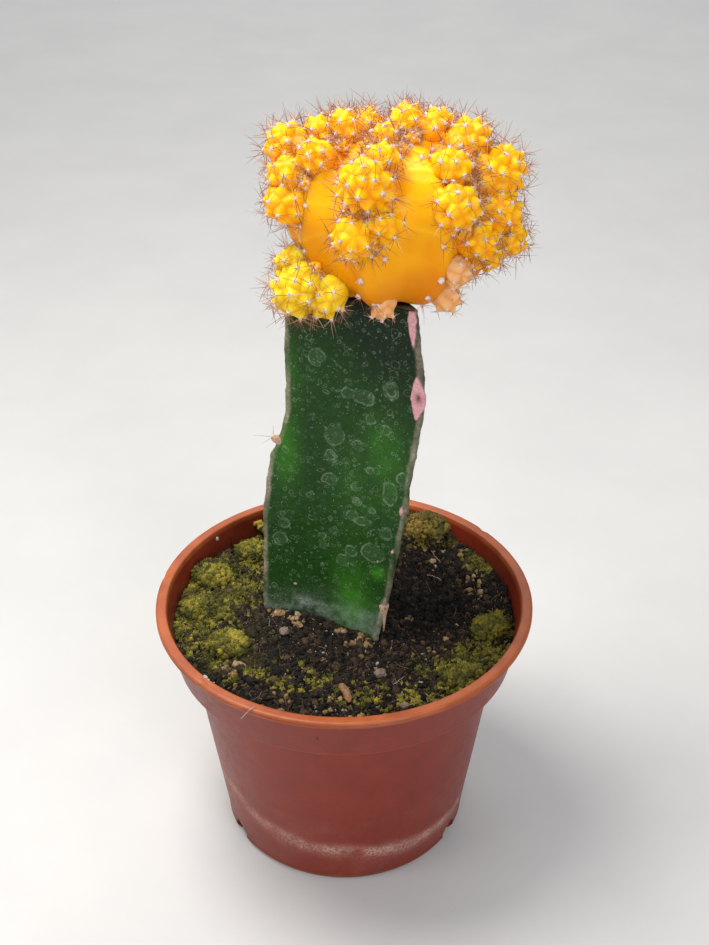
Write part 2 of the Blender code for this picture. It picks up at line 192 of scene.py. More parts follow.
def ramp(tree, source, *stops):
    """A colour ramp read at a value, from stops of (place, colour)."""
    node = add_node(tree, "ValToRGB")
    elements = node.color_ramp.elements
    while len(elements) < len(stops):
        elements.new(0.5)
    for element, (place, colour) in zip(elements, stops):
        element.position = place
        element.color = (*colour, 1)
    feed(tree, node.inputs[0], source)
    return node.outputs[0]


# %% [markdown]
# Most things here are told apart by small patches of colour, and the stem by rings of lime. Those
# two effects are node groups, built once and dropped into each material with its own values. The
# groups give out only colours and values; the shader stays in the material.

# %% Group: mottle, two colours in soft patches
def new_group(name, takes, gives):
    """A shader node group, as (group, the sockets it is given, the node of its outputs)."""
    group = bpy.data.node_groups.new(name, "ShaderNodeTree")
    for label, value in takes.items():
        kind = "Color" if isinstance(value, tuple) else "Float"
        socket = group.interface.new_socket(label, in_out="INPUT", socket_type="NodeSocket" + kind)
        socket.default_value = value
    for label, kind in gives.items():
        group.interface.new_socket(label, in_out="OUTPUT", socket_type="NodeSocket" + kind)
    return group, group.nodes.new("NodeGroupInput").outputs, group.nodes.new("NodeGroupOutput")


def build_mottle():
    takes = {
        "Colour A": (1, 1, 1, 1), "Colour B": (0, 0, 0, 1), "Patches per mm": 1.0, "Sharpness": 0.3,
    }
    group, given, gives = new_group("mottle", takes, {"Colour": "Color", "Mask": "Float"})
    patches = feed_named(
        group,
        add_node(group, "TexNoise", Detail=4.0, Roughness=0.6),
        Vector=add_node(group, "TexCoord").outputs["Object"],
        Scale=times(group, given["Patches per mm"], PER_METRE),
    )
    half = times(group, given["Sharpness"], 0.5)
    spread = feed_named(
        group,
        add_node(group, "MapRange", interpolation_type="SMOOTHSTEP"),
        Value=patches.outputs["Fac"],
        From_Min=calculate(group, "SUBTRACT", 0.5, half),
        From_Max=plus(group, 0.5, half),
    ).outputs["Result"]
    mixed = mix_colour(group, spread, given["Colour A"], given["Colour B"])
    feed_named(group, gives, Colour=mixed, Mask=spread)
    return group


MOTTLE = build_mottle()

# %% [markdown]
# Hard water leaves rings where drops have dried: a thin pale line round each drop, and specks
# between. A Voronoi texture gives every drop its own centre and its own random number, so the
# distance to the centre draws the ring, and the random number sets how big that ring is. A little
# noise in the coordinates keeps the rings from being perfect circles.

# %% Group: dried drops
DROP_WOBBLE = 0.0011  # in metres
DROP_SHARE = 0.35  # the share of cells left without a ring


def build_drops():
    takes = {"Drops per mm": 0.3, "Smallest": 0.1, "Largest": 0.4, "Line": 0.05}
    group, given, gives = new_group("dried drops", takes, {"Ring": "Float", "Inside": "Float"})
    place = add_node(group, "TexCoord").outputs["Object"]
    wobble = feed_named(group, add_node(group, "TexNoise", Scale=900.0, Detail=1.0), Vector=place)
    shift = add_node(group, "VectorMath", operation="MULTIPLY_ADD")
    shift.inputs[1].default_value = (DROP_WOBBLE,) * 3
    feed(group, shift.inputs[0], wobble.outputs["Color"])
    feed(group, shift.inputs[2], place)
    cells = feed_named(
        group,
        add_node(group, "TexVoronoi"),
        Vector=shift.outputs[0],
        Scale=times(group, given["Drops per mm"], PER_METRE),
    )
    chance = feed_named(group, add_node(group, "SeparateColor"), Color=cells.outputs["Color"])
    reach = feed_named(
        group,
        add_node(group, "MapRange"),
        Value=chance.outputs[0],
        To_Min=given["Smallest"],
        To_Max=given["Largest"],
    ).outputs["Result"]
    away = calculate(group, "ABSOLUTE", calculate(group, "SUBTRACT", cells.outputs["Distance"], reach))
    line = feed_named(
        group,
        add_node(group, "MapRange", interpolation_type="SMOOTHSTEP", To_Min=1.0, To_Max=0.0),
        Value=away,
        From_Max=given["Line"],
    ).outputs["Result"]
    shown = calculate(group, "GREATER_THAN", chance.outputs[1], DROP_SHARE)
    inside = calculate(group, "LESS_THAN", cells.outputs["Distance"], reach)
    feed_named(group, gives, Ring=times(group, line, shown), Inside=inside)
    return group


DROPS = build_drops()
print("node groups:", len(bpy.data.node_groups))


# %% Helpers for materials
def new_material(name, roughness, specular=0.5):
    made = bpy.data.materials.new(name)
    made.use_nodes = True
    shader = made.node_tree.nodes["Principled BSDF"]
    shader.inputs["Roughness"].default_value = roughness
    shader.inputs["Specular IOR Level"].default_value = specular
    return made, made.node_tree, shader


def use_group(tree, group, **values):
    node = tree.nodes.new("ShaderNodeGroup")
    node.node_tree = group
    return feed_named(tree, node, **values)


def mottled(tree, a, b, patches, sharpness=0.3):
    return use_group(tree, MOTTLE, Colour_A=a, Colour_B=b, Patches_per_mm=patches, Sharpness=sharpness)


def glow(shader, weight, radius, depth):
    """Light that sinks in and comes out again: radius is each colour's share of a depth in metres."""
    shader.inputs["Subsurface Weight"].default_value = weight
    shader.inputs["Subsurface Radius"].default_value = radius
    shader.inputs["Subsurface Scale"].default_value = depth


def relief(tree, shader, grain, height, detail=4.0, extra=None):
    """A fine noise relief: grain is the size of one bump, and height how far it stands, in mm."""
    rough = add_node(tree, "TexNoise", Scale=PER_METRE / grain, Detail=detail, Roughness=0.6)
    feed(tree, rough.inputs["Vector"], add_node(tree, "TexCoord").outputs["Object"])
    source = rough.outputs["Fac"]
    if extra is not None:
        source = plus(tree, source, extra)
    bump = add_node(tree, "Bump", Strength=1.0, Distance=height * MM)
    feed(tree, bump.inputs["Height"], source)
    feed(tree, shader.inputs["Normal"], bump.outputs["Normal"])


# %% The floor
FLOOR_SIZE = 60.0  # metres, so that its edge lies at the horizon


def make_floor():
    made, tree, shader = new_material("pale floor", 0.85, 0.2)
    patches = mottled(tree, (0.60, 0.595, 0.585), (0.55, 0.545, 0.54), 0.02, 0.8)
    feed(tree, shader.inputs["Base Color"], patches.outputs["Colour"])
    relief(tree, shader, 3.0, 0.05)
    bpy.ops.mesh.primitive_plane_add(size=FLOOR_SIZE)
    floor = bpy.context.active_object
    floor.name = "floor"
    floor.data.materials.append(made)


make_floor()

# %% [markdown]
# The shapes are grown from rules and not drawn, so a few helpers do most of the work: smooth noise
# over any points, bells and ovals that fade to nothing, and a mesh made from arrays of points
# and faces, with named masks painted on its points for the material to read.

# %% Noise and meshes from arrays
def random_at(cells, seed):
    """A repeatable random number from -1 to 1 for every whole-numbered cell."""
    x, y, z = (cells[:, axis].astype(np.uint32) for axis in range(3))
    mixed = x * np.uint32(374761393) + y * np.uint32(668265263) + z * np.uint32(2246822519)
    mixed = mixed + np.uint32(seed * 3266489917 % 2**32)
    mixed = (mixed ^ (mixed >> np.uint32(13))) * np.uint32(1274126177)
    mixed = mixed ^ (mixed >> np.uint32(16))
    return mixed / 2147483648.0 - 1.0


def noise(points, grain, seed=0, layers=1):
    """Smooth noise from about -1 to 1 over points; grain is the size of one swell."""
    total, share_of_all = np.zeros(len(points)), 0.0
    for layer in range(layers):
        at = points / grain * 2.0**layer
        cell = np.floor(at).astype(np.int64)
        share = at - cell
        ease = share * share * (3 - 2 * share)
        for corner in itertools.product((0, 1), repeat=3):
            weight = np.prod(np.where(corner, ease, 1 - ease), axis=1)
            total += weight * random_at(cell + corner, seed + layer) / 2.0**layer
        share_of_all += 0.5**layer
    return total / share_of_all


def bell(away, width):
    """1 where away is zero, fading to 0 past the width on either side."""
    return np.exp(-((away / width) ** 2))


def oval(points, x, y, wide, deep):
    """How far each point lies from an oval's middle, squared, with 1 on its edge."""
    return ((points[:, 0] - x) / wide) ** 2 + ((points[:, 1] - y) / deep) ** 2


def mesh_piece(name, points, faces, finish, smooth=True, masks=None):
    """A mesh object from points in mm and faces of one size, with masks painted on its points."""
    mesh = bpy.data.meshes.new(name)
    points, faces = np.asarray(points, float), np.asarray(faces)
    corners = faces.shape[1]
    mesh.vertices.add(len(points))
    mesh.vertices.foreach_set("co", (points * MM).ravel())
    mesh.loops.add(faces.size)
    mesh.loops.foreach_set("vertex_index", faces.ravel())
    mesh.polygons.add(len(faces))
    mesh.polygons.foreach_set("loop_start", np.arange(0, faces.size, corners))
    mesh.update(calc_edges=True)
    mesh.validate()
    mesh.polygons.foreach_set("use_smooth", np.full(len(faces), smooth))
    for label, values in (masks or {}).items():
        layer = mesh.attributes.new(label, "FLOAT", "POINT")
        layer.data.foreach_set("value", np.asarray(values, np.float32))
    mesh.materials.append(finish)
    obj = bpy.data.objects.new(name, mesh)
    bpy.context.scene.collection.objects.link(obj)
    return obj


def belongs(piece, slot, *nodes):
    """The whole plant is one body, so each piece rides on the root, and may stand for CAD nodes."""
    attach(piece, "root")
    if nodes:
        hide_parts(*nodes)


def unit(vectors):
    return vectors / np.maximum(np.linalg.norm(vectors, axis=-1, keepdims=True), 1e-9)


def loft_faces(rows, columns):
    """Quads over a grid of points whose columns close into a ring."""
    row, column = np.meshgrid(np.arange(rows - 1), np.arange(columns), indexing="ij")
    after = (column + 1) % columns
    corners = (row * columns + column, row * columns + after)
    above = (corners[1] + columns, corners[0] + columns)
    return np.stack([*corners, *above], axis=-1).reshape(-1, 4)


def close_end(mesh, ring, low):
    """Closes one end of a loft with a flat many-sided face."""
    solid = bmesh.new()
    solid.from_mesh(mesh)
    solid.verts.ensure_lookup_table()
    verts = [solid.verts[i] for i in ring]
    solid.faces.new(reversed(verts) if low else verts)
    solid.to_mesh(mesh)
    solid.free()


def ball(level):
    """The points and triangles of a unit icosphere."""
    solid = bmesh.new()
    bmesh.ops.create_icosphere(solid, subdivisions=level, radius=1.0)
    points = np.array([v.co for v in solid.verts])
    faces = np.array([[v.index for v in f.verts] for f in solid.faces])
    solid.free()
    return points, faces


BALLS = {level: ball(level) for level in range(1, 8)}
print("triangles in each ball:", [len(faces) for _, faces in BALLS.values()])

# %% [markdown]
# ## The pot
# A thin injection-moulded nursery pot: a rolled lip, a collar that steps out so that pots can nest, a
# plain tapering body and a recessed base with drain holes. A turned shape could come from a
# Screw modifier, but spinning the outline in code lets masks for lime, wear, light painted on the
# rim top, painted shade inside and a darker foot go on the same points.

# %% Helpers for turned shapes
def subdivided(outline, longest):
    """The outline with points added, so that no step is longer than the given length."""
    made = [np.array(outline[0], float)]
    for start, end in itertools.pairwise(np.array(outline, float)):
        count = max(1, math.ceil(np.linalg.norm(end - start) / longest))
        made += [start + (end - start) * (i + 1) / count for i in range(count)]
    return np.array(made)


def softened(outline):
    """Chaikin's corner cutting: it rounds the corners and keeps both ends."""
    low = outline[:-1] * 0.75 + outline[1:] * 0.25
    high = outline[:-1] * 0.25 + outline[1:] * 0.75
    cut = np.stack([low, high], axis=1).reshape(-1, 2)
    return np.concatenate([outline[:1], cut, outline[-1:]])


def welded(obj):
    """Merges the points that meet on the axis, and so drops the empty faces between them."""
    solid = bmesh.new()
    solid.from_mesh(obj.data)
    bmesh.ops.remove_doubles(solid, verts=solid.verts, dist=1e-7)
    solid.to_mesh(obj.data)
    solid.free()
    return obj


def spun(outline, steps):
    """Points and quads of an outline of (radius, z) turned about the Z axis."""
    angle = np.arange(steps) * 2 * math.pi / steps
    radius, height = outline[:, :1], outline[:, 1:]
    x, y = radius * np.sin(angle), -radius * np.cos(angle)
    points = np.stack([x, y, np.broadcast_to(height, x.shape)], axis=-1).reshape(-1, 3)
    return points, loft_faces(len(outline), steps)


def bearing_of(points):
    """Bearings round the plant in degrees: 0 faces the front, and 90 faces +X."""
    return np.degrees(np.arctan2(points[:, 0], -points[:, 1]))


# %% The pot's outline
RIM_RADIUS, RIM_TOP, COLLAR_FOOT, FOOT_RADIUS = 42.5, 61.0, 48.5, 28.3
WALL = 0.9
POT_INSIDE = ((4.0, 2.2), (26.6, 2.2), (27.5, 3.0), (34.2, 48.2), (37.5, 49.6), (40.1, 60.7))
POT_LIP = (
    (40.25, 60.92), (40.6, 61.0), (41.9, 61.0), (42.3, 60.9), (42.47, 60.6), (42.5, 60.35),
    (42.36, 60.27), (42.36, 60.17), (42.5, 60.1), (42.5, 59.65), (42.2, 59.4), (41.1, 59.15),
)
POT_OUTSIDE = (
    (40.85, 58.2), (40.72, 58.05), (40.68, 57.9), (38.6, 49.2), (38.55, 48.8), (38.2, 48.5),
    (35.5, 48.4), (35.1, 48.1), (28.6, 1.7), (28.72, 1.4), (28.6, 0.9), (28.2, 0.5), (27.9, 0.0),
    (26.3, 0.0), (25.8, 1.2), (10.0, 1.2), (4.0, 1.2), (3.4, 0.9), (0.0, 0.9),
)
POT_COLUMNS = 320


def pot_inner_radius(z):
    radii, heights = zip(*POT_INSIDE[1:])
    return np.interp(z, heights, radii)


pot_stretches = [
    subdivided(((0.0, 2.2), *POT_INSIDE[:4]), 2.0),
    subdivided(POT_INSIDE[3:], 0.9)[1:],
    subdivided(POT_LIP, 0.5),
    subdivided(POT_OUTSIDE[:14], 0.9),
    subdivided(POT_OUTSIDE[13:], 2.0)[1:],
]
pot_outline = softened(np.concatenate(pot_stretches))
print("pot outline points:", len(pot_outline))

# %% [markdown]
# The rim has a nick at the front left and a few shallow dents, and the thin wall is never quite
# round. Each is a small push on the points near it. The lime left by hard water is a wavy band
# round the body: its height at each bearing is read off a short list, and the mask fades either side.

# %% The pot's dents and masks
RIM_NICKS = (  # bearing, width, depth
    (-45.0, 1.3, 0.55), (128.0, 0.9, 0.35), (22.0, 0.7, 0.2), (-100.0, 1.0, 0.25),
)
LIME_HEIGHTS = (  # bearing, height
    (-180, 11), (-120, 15), (-54, 19), (-45, 16), (-20, 12),
    (4, 11.5), (36, 9), (57, 9), (110, 13), (180, 11),
)
WORN_EDGES = (  # height, how worn
    (COLLAR_FOOT + 0.1, 0.4), (0.9, 1.0), (RIM_TOP - 0.25, 1.0), (59.5, 1.0),
)
OUT_OF_ROUND = 0.12  # how far the rim strays from a true circle


def dented(points):
    """The pot's points, a touch out of round, with nicks in the lip."""
    points = points.copy()
    radius = np.hypot(points[:, 0], points[:, 1])
    bearing = bearing_of(points)
    height = points[:, 2]
    stray = OUT_OF_ROUND * np.cos(np.radians(bearing * 2 + 40)) * (height / RIM_TOP) ** 2
    wobble = 0.05 * noise(points, 9.0, 3, 2)
    grown = radius + (stray + wobble - OUT_OF_ROUND) * (radius > 5)
    for nick, wide, deep in RIM_NICKS:
        across = np.radians(bearing - nick) * RIM_RADIUS / wide
        bite = bell(across, 1) * (height > RIM_TOP - 1.8) * (radius > RIM_RADIUS - 1.2)
        grown -= bite * deep * 0.6
        points[:, 2] -= bite * deep * 0.5 * (height > RIM_TOP - 0.5)
    share = grown / np.maximum(radius, 0.01)
    points[:, 0] *= share
    points[:, 1] *= share
    return points


def pot_masks(points):
    """Lime round the body, worn edges with light painted on the rim top, painted shade inside, and a darker
    foot, each from 0 to 1.
    """
    radius = np.hypot(points[:, 0], points[:, 1])
    height, bearing = points[:, 2], bearing_of(points)
    outside = radius > pot_inner_radius(height) + WALL * 0.6
    bearings, heights = zip(*LIME_HEIGHTS)
    middle = np.interp(bearing, bearings, heights) + 1.1 * noise(points, 7.0, 11, 3)
    lime = bell(height - middle, np.where(height > middle, 1.5, 2.6)) * outside
    lime *= np.clip(0.7 + 0.9 * noise(points, 3.2, 12, 3), 0.1, 1)
    lime += 0.22 * np.clip(noise(points, 8.0, 13, 4), 0, 1) * (height < 22) * outside
    edges = [strength * bell(height - z, 0.45) for z, strength in WORN_EDGES]
    wear_and_lit_rim = np.max(edges, axis=0) * outside * np.clip(0.55 + 0.8 * noise(points, 4.0, 14, 3), 0, 1)
    # The rim top is painted lighter, as if light falls on it, and is joined to the worn edges.
    lip = np.clip((height - 59.6) / 0.5, 0, 1) * np.clip(0.75 + 0.5 * noise(points, 3.0, 16, 2), 0, 1)
    wear_and_lit_rim = np.maximum(wear_and_lit_rim, lip * 0.8)
    # Painted shade: the inner wall darkens below the rim.
    inside_shade = np.clip((57.5 - height + 2.2 * noise(points, 5.0, 15, 3)) / 4, 0, 1) * ~outside
    # Darker towards the foot, outside.
    dark_foot = np.clip((2.6 - height) / 2, 0, 1) * outside * 0.6
    return {"lime": lime, "wear_and_lit_rim": wear_and_lit_rim, "shade_inside_and_dark_foot": np.maximum(inside_shade, dark_foot)}


# %% [markdown]
# The plastic is a warm terracotta red with a soft shine. Lime is matt and pale, so the mask that
# lightens the colour also raises the roughness. Worn edges are paler, and the rim top is painted
# lighter, as if lit.

# %% The pot's plastic
def pot_plastic():
    made, tree, shader = new_material("terracotta plastic", 0.4, 0.36)
    base = mottled(tree, (0.160, 0.015, 0.008), (0.225, 0.026, 0.009), 0.12, 1.2)
    grime = mottled(tree, (0.5, 0.5, 0.5), (1.0, 1.0, 1.0), 0.5, 0.5)
    flecks = mottled(tree, (0, 0, 0), (1, 1, 1), 2.2, 0.25)
    colour = mix_colour(tree, 0.35, base.outputs["Colour"], grime.outputs["Colour"], "MULTIPLY")
    lime, broken = times(tree, attribute(tree, "lime"), 0.95), plus(tree, flecks.outputs["Mask"], 0.35)
    patchy = calculate(tree, "MULTIPLY", lime, broken, clamp=True)
    colour = mix_colour(tree, times(tree, patchy, 0.5), colour, (0.62, 0.42, 0.34))
    # This mask pales the worn edges and paints light on the rim top.
    colour = mix_colour(tree, times(tree, attribute(tree, "wear_and_lit_rim"), 0.55), colour, (0.60, 0.17, 0.035))
    # Painted shade inside the pot, and a darker band at the foot.
    colour = mix_colour(tree, times(tree, attribute(tree, "shade_inside_and_dark_foot"), 0.75), colour, (0.035, 0.022, 0.014))
    matt = calculate(tree, "MULTIPLY_ADD", patchy, 0.4, 0.36)
    rough = calculate(tree, "MULTIPLY_ADD", grime.outputs["Mask"], 0.12, matt)
    feed_named(tree, shader, Base_Color=colour, Roughness=rough)
    relief(tree, shader, 0.7, 0.05, 5.0, times(tree, patchy, 0.8))
    return made


# %% The pot, with its drain holes bored
DRAIN_BEARINGS = (60.0, 180.0, 300.0)
DRAIN_RADIUS, DRAIN_LENGTH, DRAIN_SLANT = 2.6, 10, 35  # the slant is in degrees below level


def drain_borer(bearing):
    """A round bar through the corner of the base, slanting down and out."""
    bpy.ops.mesh.primitive_cylinder_add(vertices=48, radius=DRAIN_RADIUS * MM, depth=DRAIN_LENGTH * MM)
    borer = bpy.context.active_object
    side, down = math.radians(bearing), math.radians(-DRAIN_SLANT)
    out = Vector((math.sin(side), -math.cos(side), 0))
    slanting = out * math.cos(down) + Vector((0, 0, math.sin(down)))
    borer.rotation_euler = slanting.to_track_quat("Z", "Y").to_euler()
    borer.location = (out * (FOOT_RADIUS - 0.6) + Vector((0, 0, 1.9))) * MM
    return borer


def bored(obj, borers):
    for borer in borers:
        modifier = obj.modifiers.new("bore", "BOOLEAN")
        modifier.operation = "DIFFERENCE"
        modifier.solver = "EXACT"
        modifier.object = borer
    bpy.context.view_layer.update()
    graph = bpy.context.evaluated_depsgraph_get()
    finished = bpy.data.meshes.new_from_object(obj.evaluated_get(graph))
    obj.modifiers.clear()
    obj.data = finished
    for borer in borers:
        bpy.data.objects.remove(borer)


pot_points, pot_faces = spun(pot_outline, POT_COLUMNS)
pot = mesh_piece("pot_shell", dented(pot_points), pot_faces, pot_plastic(), masks=pot_masks(pot_points))
bored(welded(pot), [drain_borer(bearing) for bearing in DRAIN_BEARINGS])
belongs(pot, "pot_plastic", "nursery_pot")
print("pot faces:", len(pot.data.polygons))

# %% [markdown]
# ## The soil
# Coarse peat: near-black crumbs with brown fibres, grains of bark and a few pale flecks. The
# ground under them is one rough sheet that follows the CAD plug. A displaced sheet alone would
# look like crumpled cloth, so thousands of separate crumbs lie half sunk in it.

# %% Finding the surface of a CAD node
def tree_of(node):
    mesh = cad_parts[node].data
    points = [v.co / MM for v in mesh.vertices]
    return BVHTree.FromPolygons(points, [tuple(p.vertices) for p in mesh.polygons])


SOIL_TREE = tree_of("potting_soil")
STEM_TREE = tree_of("rootstock")
SOIL_LEVEL = 53.8
SOCKET_LEVEL = 54.6  # what the soil comes up to in the narrow gap round the stem
SKY_LEVEL, LOWEST_SOIL = 80.0, 46.0  # where a ray down starts, and the least height it may find
GRID_LOW, GRID_HIGH, GRID_STEP = -44.0, 44.0, 1.0


def soil_height_at(x, y):
    """The CAD soil's height at one place, or the level at the stem where its socket is open."""
    hit = SOIL_TREE.ray_cast(Vector((x, y, SKY_LEVEL)), Vector((0, 0, -1)))[0]
    return hit.z if hit is not None and hit.z > LOWEST_SOIL else SOCKET_LEVEL


def soil_grid():
    """The soil's height over a square grid, smoothed a little so that no CAD facet shows."""
    ticks = np.arange(GRID_LOW, GRID_HIGH + GRID_STEP, GRID_STEP)
    heights = np.array([[soil_height_at(x, y) for y in ticks] for x in ticks])
    for _ in range(2):
        padded = np.pad(heights, 1, mode="edge")
        around = padded[:-2, 1:-1] + padded[2:, 1:-1] + padded[1:-1, :-2] + padded[1:-1, 2:]
        heights = heights * 0.5 + around * 0.125
    return heights


GRID_HEIGHTS = soil_grid()


def ground(x, y):
    """The smooth ground's height at many places, read between the grid's points."""
    across = (np.asarray(x) - GRID_LOW) / GRID_STEP
    along = (np.asarray(y) - GRID_LOW) / GRID_STEP
    last = len(GRID_HEIGHTS) - 2
    i, j = np.clip(across.astype(int), 0, last), np.clip(along.astype(int), 0, last)
    u, v = across - i, along - j
    near = GRID_HEIGHTS[i, j] * (1 - u) + GRID_HEIGHTS[i + 1, j] * u
    far = GRID_HEIGHTS[i, j + 1] * (1 - u) + GRID_HEIGHTS[i + 1, j + 1] * u
    return near * (1 - v) + far * v


def rough_ground(x, y):
    """The ground with its lumps: broad swells, then clods, then crumbs."""
    flat = np.stack([x, y, np.zeros(len(x))], axis=1)
    swells = 0.7 * noise(flat, 9.0, 20, 2)
    clods = 0.75 * (np.abs(noise(flat, 3.6, 21, 2)) - 0.25)
    crumbs = 0.45 * (np.abs(noise(flat, 1.5, 22, 2)) - 0.25)
    return ground(x, y) + swells + clods + crumbs


print("soil from", round(GRID_HEIGHTS.min(), 1), "to", round(GRID_HEIGHTS.max(), 1), "mm up")

# %% Peat, and the ground sheet
def peat():
    made, tree, shader = new_material("peat", 0.92, 0.25)
    colour = ramp(
        tree,
        attribute(tree, "tone"),
        (0.0, (0.006, 0.005, 0.0042)),
        (0.5, (0.019, 0.0145, 0.011)),
        (0.72, (0.050, 0.032, 0.020)),
        (0.84, (0.12, 0.072, 0.038)),
        (0.95, (0.40, 0.245, 0.105)),
        (1.0, (0.46, 0.42, 0.36)),
    )
    specks = mottled(tree, (1, 1, 1), (0.45, 0.45, 0.45), 3.0, 0.5)
    colour = mix_colour(tree, 1.0, colour, specks.outputs["Colour"], "MULTIPLY")
    colour = mix_colour(tree, times(tree, attribute(tree, "algae"), 0.6), colour, (0.07, 0.066, 0.014))
    feed_named(tree, shader, Base_Color=colour)
    relief(tree, shader, 0.28, 0.12, 5.0)
    return made


PEAT = peat()
SOIL_COLUMNS, SOIL_RINGS = 420, 120
SOIL_EDGE, EDGE_BLEND = 38.6, 3  # the sheet's radius, and how much of it is fitted to the wall
WALL_HEIGHTS = (49.8, 48.0, 30.0, 12.0, 2.6)
ALGAE_SPOTS = ((-33, 8, 15, 20), (-24, -13, 9, 8), (31, -18, 10, 9), (16, 33, 12, 5))  # ovals


def algae_at(points):
    """Where green creeps over the peat: mostly along the left wall and at the front right."""
    mask = np.max([np.exp(-oval(points, *spot)) for spot in ALGAE_SPOTS], axis=0)
    return np.clip(mask * 1.5 + 0.9 * noise(points, 3.0, 31, 3) - 0.45, 0, 1)


def soil_sheet():
    """The soil's top, turned down along the pot's wall and closed over the pot's floor."""
    spread = SOIL_EDGE * np.arange(SOIL_RINGS + 1) / SOIL_RINGS
    outline = np.stack([spread, np.full(SOIL_RINGS + 1, SOIL_LEVEL)], axis=1)
    points = spun(outline, SOIL_COLUMNS)[0]
    points[:, 2] = rough_ground(points[:, 0], points[:, 1])
    radius = np.hypot(points[:, 0], points[:, 1])
    room = pot_inner_radius(points[:, 2]) - 0.25
    blend = np.maximum(radius - SOIL_EDGE + EDGE_BLEND, 0) / EDGE_BLEND
    points[:, :2] *= (1 + (room / SOIL_EDGE - 1) * blend)[:, None]
    rim = points[-SOIL_COLUMNS:]
    walls = []
    for height in WALL_HEIGHTS:
        ring = rim.copy()
        inner = pot_inner_radius(height) - 0.35
        ring[:, :2] *= (inner / np.hypot(ring[:, 0], ring[:, 1]))[:, None]
        ring[:, 2] = height
        walls.append(ring)
    points = np.concatenate([points, *walls])
    faces = loft_faces(len(points) // SOIL_COLUMNS, SOIL_COLUMNS)
    tone = np.clip(0.34 + 0.5 * noise(points, 1.6, 24, 3), 0, 0.8)
    return mesh_piece("soil_ground", points, faces, PEAT, masks={"tone": tone, "algae": algae_at(points)})


soil = soil_sheet()
close_end(soil.data, range(len(soil.data.vertices) - SOIL_COLUMNS, len(soil.data.vertices)), False)
belongs(welded(soil), "soil", "potting_soil")

# %% [markdown]
# Crumbs, moss leaves and grains of grit are all small lumps, so one helper makes them: it copies a
# ball to every place, gives each copy its own size, turn and dents, and joins them into one mesh.
# Joined copies cost memory, but they export as plain geometry, which scattered instances don't.

# %% A helper that scatters lumps
def turned_about(directions, seed):
    """A random turn for each copy, as (copies, 3, 3) matrices with each copy's third axis given."""
    chance = np.random.default_rng(seed)
    up = unit(directions)
    side = unit(np.cross(up, chance.normal(size=up.shape)))
    return np.stack([side, np.cross(up, side), up], axis=-1)


def lumps(level, places, sizes, upward, seed, dents=0.25, dent_grain=0.9):
    """Points and faces of dented balls; sizes is (copies, 3), with the last along upward."""
    points, faces = BALLS[level]
    turns = turned_about(upward, seed)
    copies = points[None] * np.ones((len(places), 1, 1))
    shifted = copies + np.random.default_rng(seed + 1).uniform(-50, 50, (len(places), 1, 3))
    pushed = 1 + dents * noise(shifted.reshape(-1, 3), dent_grain, seed, 2).reshape(len(places), -1)
    shaped = copies * pushed[..., None] * sizes[:, None, :]
    placed = np.einsum("cij,cpj->cpi", turns, shaped) + places[:, None, :]
    starts = np.arange(len(places))[:, None, None] * len(points)
    return placed.reshape(-1, 3), (faces[None] + starts).reshape(-1, 3)


def per_point(values, level):
    return np.repeat(values, len(BALLS[level][0]))


# %% Where things may lie on the soil
STEM_CHECK_LEVEL = 56.0  # just over the soil
SCATTER_REACH = 39.0


def inside_stem(points, margin):
    """Which points on the soil lie within the stem, or nearer to it than a margin."""
    found = np.zeros(len(points), bool)
    for index, (x, y, _) in enumerate(points):
        place = Vector((x, y, STEM_CHECK_LEVEL))
        nearest, normal, _, distance = STEM_TREE.find_nearest(place)
        inward = (place - nearest).dot(normal) < 0
        found[index] = inward or distance < margin
    return found


def scattered(count, seed, margin=0.3):
    """Random places on the soil, clear of the stem and the pot's wall."""
    chance = np.random.default_rng(seed)
    radius = SCATTER_REACH * np.sqrt(chance.uniform(0, 1, count))
    angle = chance.uniform(0, 2 * math.pi, count)
    x, y = radius * np.cos(angle), radius * np.sin(angle)
    places = np.stack([x, y, rough_ground(x, y)], axis=1)
    room = pot_inner_radius(places[:, 2]) - 0.4
    places = places[np.hypot(places[:, 0], places[:, 1]) < room]
    return places[~inside_stem(places, margin)]


# %% Crumbs of peat
def crumb_tones(places, chance):
    """Most crumbs are near black, some brown, and a few tan or pale; pale ones gather at the stem, and low
    ones are darkened as painted shade.
    """
    share = chance.uniform(0, 1, len(places))
    near_stem = np.exp(-oval(places, -5, -8, 10, 5))
    share = share + 0.10 * near_stem * chance.uniform(0, 1, len(places))
    tone = np.interp(share, (0, 0.5, 0.76, 0.93, 0.985, 1.0), (0.05, 0.5, 0.73, 0.84, 0.93, 1.0))
    # Crumbs lying low in hollows are darkened: painted shade.
    return tone * np.interp(places[:, 2], (47.5, 52.5), (0.45, 1.0))


def make_crumbs(name, level, count, smallest, largest, seed, lift):
    chance = np.random.default_rng(seed)
    places = scattered(count, seed)
    tone = np.clip(crumb_tones(places, chance) + (0.09 if level == 1 else 0.0), 0, 1)
    size = smallest * (largest / smallest) ** (chance.uniform(0, 1, len(places)) ** 2.4)
    size = size * np.where(tone > 0.8, 0.62, 1.0)
    places[:, 2] += size * lift
    stretch = chance.uniform(0.55, 1.35, (len(places), 3))
    upward = unit(chance.normal(size=places.shape) + (0, 0, 1.0))
    points, faces = lumps(level, places, size[:, None] * stretch, upward, seed, 0.75, 0.5)
    masks = {"tone": per_point(tone, level), "algae": per_point(algae_at(places) * 0.8, level)}
    belongs(mesh_piece(name, points, faces, PEAT, smooth=False, masks=masks), "soil")
    return len(faces)


CRUMB_KINDS = (  # name, ball, how many in a batch, smallest, largest, first seed, how far they stand out
    ("crumbs", 2, 2450, 0.30, 1.0, 40, 0.2),
    ("grains", 1, 12000, 0.12, 0.36, 70, 0.7),
)
crumb_faces = 0
for kind, level, count, smallest, largest, seed, lift in CRUMB_KINDS:
    for batch in range(4):
        name = f"soil_{kind}_{batch + 1}"
        crumb_faces += make_crumbs(name, level, count, smallest, largest, seed + batch * 5, lift)
print("crumb faces:", crumb_faces)

